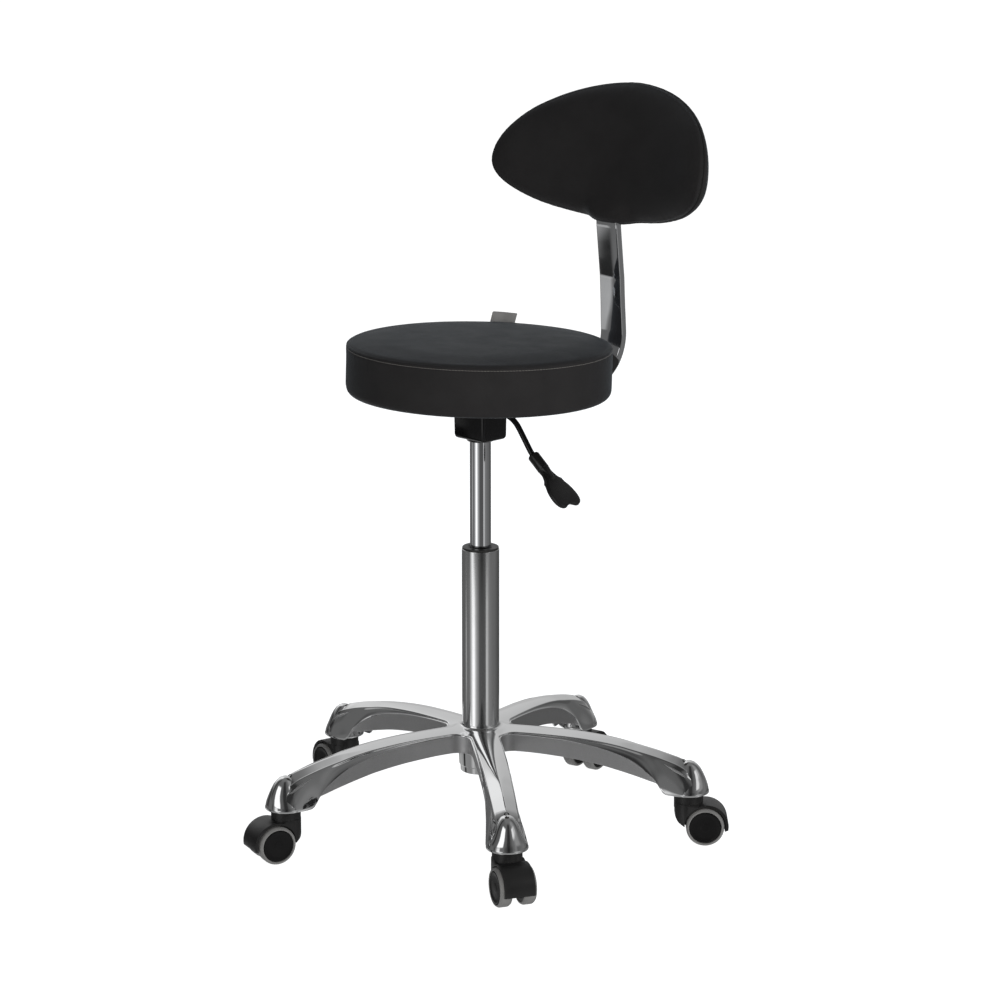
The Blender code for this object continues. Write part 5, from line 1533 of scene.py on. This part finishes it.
class World(Graph):
    def __init__(self, name):
        world = bpy.data.worlds.new(name)
        scene.world = world
        world.use_nodes = True
        world.node_tree.nodes.clear()
        super().__init__(world.node_tree)
        split = self.node("ShaderNodeSeparateXYZ",
                          {0: self.node("ShaderNodeTexCoord").outputs["Generated"]})
        x, y, z = split.outputs
        turn = self.math("DIVIDE", self.math("ARCTAN2", y, x), math.tau)
        self.azimuth = self.math("ADD", turn, 0.5)
        self.height = self.math("ADD", self.math("MULTIPLY", z, 0.5), 0.5)

    def ramp(self, value, stops):
        made = self.node("ShaderNodeValToRGB", {"Fac": value})
        made.color_ramp.interpolation = "EASE"
        elements = made.color_ramp.elements
        while len(elements) > 1:
            elements.remove(elements[-1])
        elements[0].position = stops[0][0]
        elements[0].color = (stops[0][1],) * 3 + (1,)
        for position, grey in stops[1:]:
            elements.new(position).color = (grey, grey, grey, 1)
        return made.outputs["Color"]

    def around(self, stops):
        return self.ramp(self.azimuth, [((turn + 180.0) / 360.0, grey) for turn, grey in stops])

    def rows(self, stops):
        return self.ramp(self.height, stops)

    def mix(self, factor, first, second):
        inputs = {0: factor, 2: first, 3: second}
        return self.node("ShaderNodeMix", inputs, data_type="FLOAT").outputs[0]

    def patch(self, sector, rows):
        return self.math("MULTIPLY", sector, rows)


def studio():
    """White to the camera, a dark room with softboxes to reflections, soft light to the rest."""
    world = World("studio")
    low_band = world.math("MULTIPLY", world.around(HORIZON), 1.25)
    glossy = world.mix(world.rows(ABOVE_HORIZON), low_band, world.around(MIDDLE_BAND))
    glossy = world.mix(world.rows(ABOVE_BAND), glossy, world.around(SKY))
    # two softboxes: a tall one on the camera's left and a smaller, dimmer one on its right
    for sector, rows, brightness in ((LEFT_BOX, LEFT_ROWS, 1.25), (RIGHT_BOX, RIGHT_ROWS, 0.80)):
        box = world.patch(world.around(sector), world.rows(rows))
        glossy = world.mix(box, glossy, brightness)
    glossy = world.mix(world.rows(DOWNWARD), glossy, world.around(LOW))
    glossy = world.mix(world.rows(ZENITH), glossy, 0.17)
    # a pale strip with a dark one below it, low down in a narrow sector
    strip = world.patch(world.around(STRIP_SECTOR), world.rows(STRIP_ROWS))
    glossy = world.mix(strip, glossy, world.rows(STRIP))
    soft = world.around(DIFFUSE)
    diffuse = world.mix(world.rows(ABOVE_LEVEL), soft, world.math("MULTIPLY", soft, 0.65))
    path = world.node("ShaderNodeLightPath")
    strength = world.mix(path.outputs["Is Glossy Ray"], diffuse, glossy)
    strength = world.mix(path.outputs["Is Camera Ray"], strength, 1.0)
    background = world.node("ShaderNodeBackground", {"Color": (1, 1, 1, 1), "Strength": strength})
    world.node("ShaderNodeOutputWorld", {0: background.outputs[0]})


studio()


# ------------------------------------------------------------------ lights and camera
def area(name, location, target_z, size, energy, colour):
    """A rectangular light aimed at the column, unseen by the camera and by reflections."""
    light = bpy.data.lights.new(name, "AREA")
    light.shape = "RECTANGLE"
    light.size, light.size_y = size
    light.energy = energy
    light.color = colour
    lamp = bpy.data.objects.new(name, light)
    scene.collection.objects.link(lamp)
    lamp.location = location
    aim = Vector((AXIS_X, AXIS_Y, target_z)) - Vector(location)
    lamp.rotation_euler = aim.to_track_quat("-Z", "Y").to_euler()
    lamp.visible_camera = False
    lamp.visible_glossy = False


area("key_front", (2.7, -2.3, 1.0), target_z=0.60, size=(1.0, 1.4), energy=105.0,
     colour=(1.0, 0.97, 0.92))
area("fill_right", (3.0, 0.9, 1.2), target_z=0.62, size=(0.9, 1.6), energy=40.0,
     colour=(1.0, 0.985, 0.96))
area("rim_back", (-1.7, 2.3, 2.5), target_z=0.85, size=(2.2, 1.4), energy=45.0,
     colour=(0.62, 0.80, 1.0))
area("top_soft", (0.0, 0.9, 2.8), target_z=0.6, size=(1.8, 1.8), energy=11.0,
     colour=(0.86, 0.93, 1.0))

lens = bpy.data.cameras.new("camera")
lens.lens = 124.06
lens.sensor_width = 36.0
lens.clip_start, lens.clip_end = 0.05, 60
camera = bpy.data.objects.new("camera", lens)
scene.collection.objects.link(camera)
camera.location = (3.1627 + AXIS_X, -3.1260 + AXIS_Y, 1.5278)
camera.rotation_euler = (math.radians(76.464), 0.0, math.radians(45.0))
scene.camera = camera
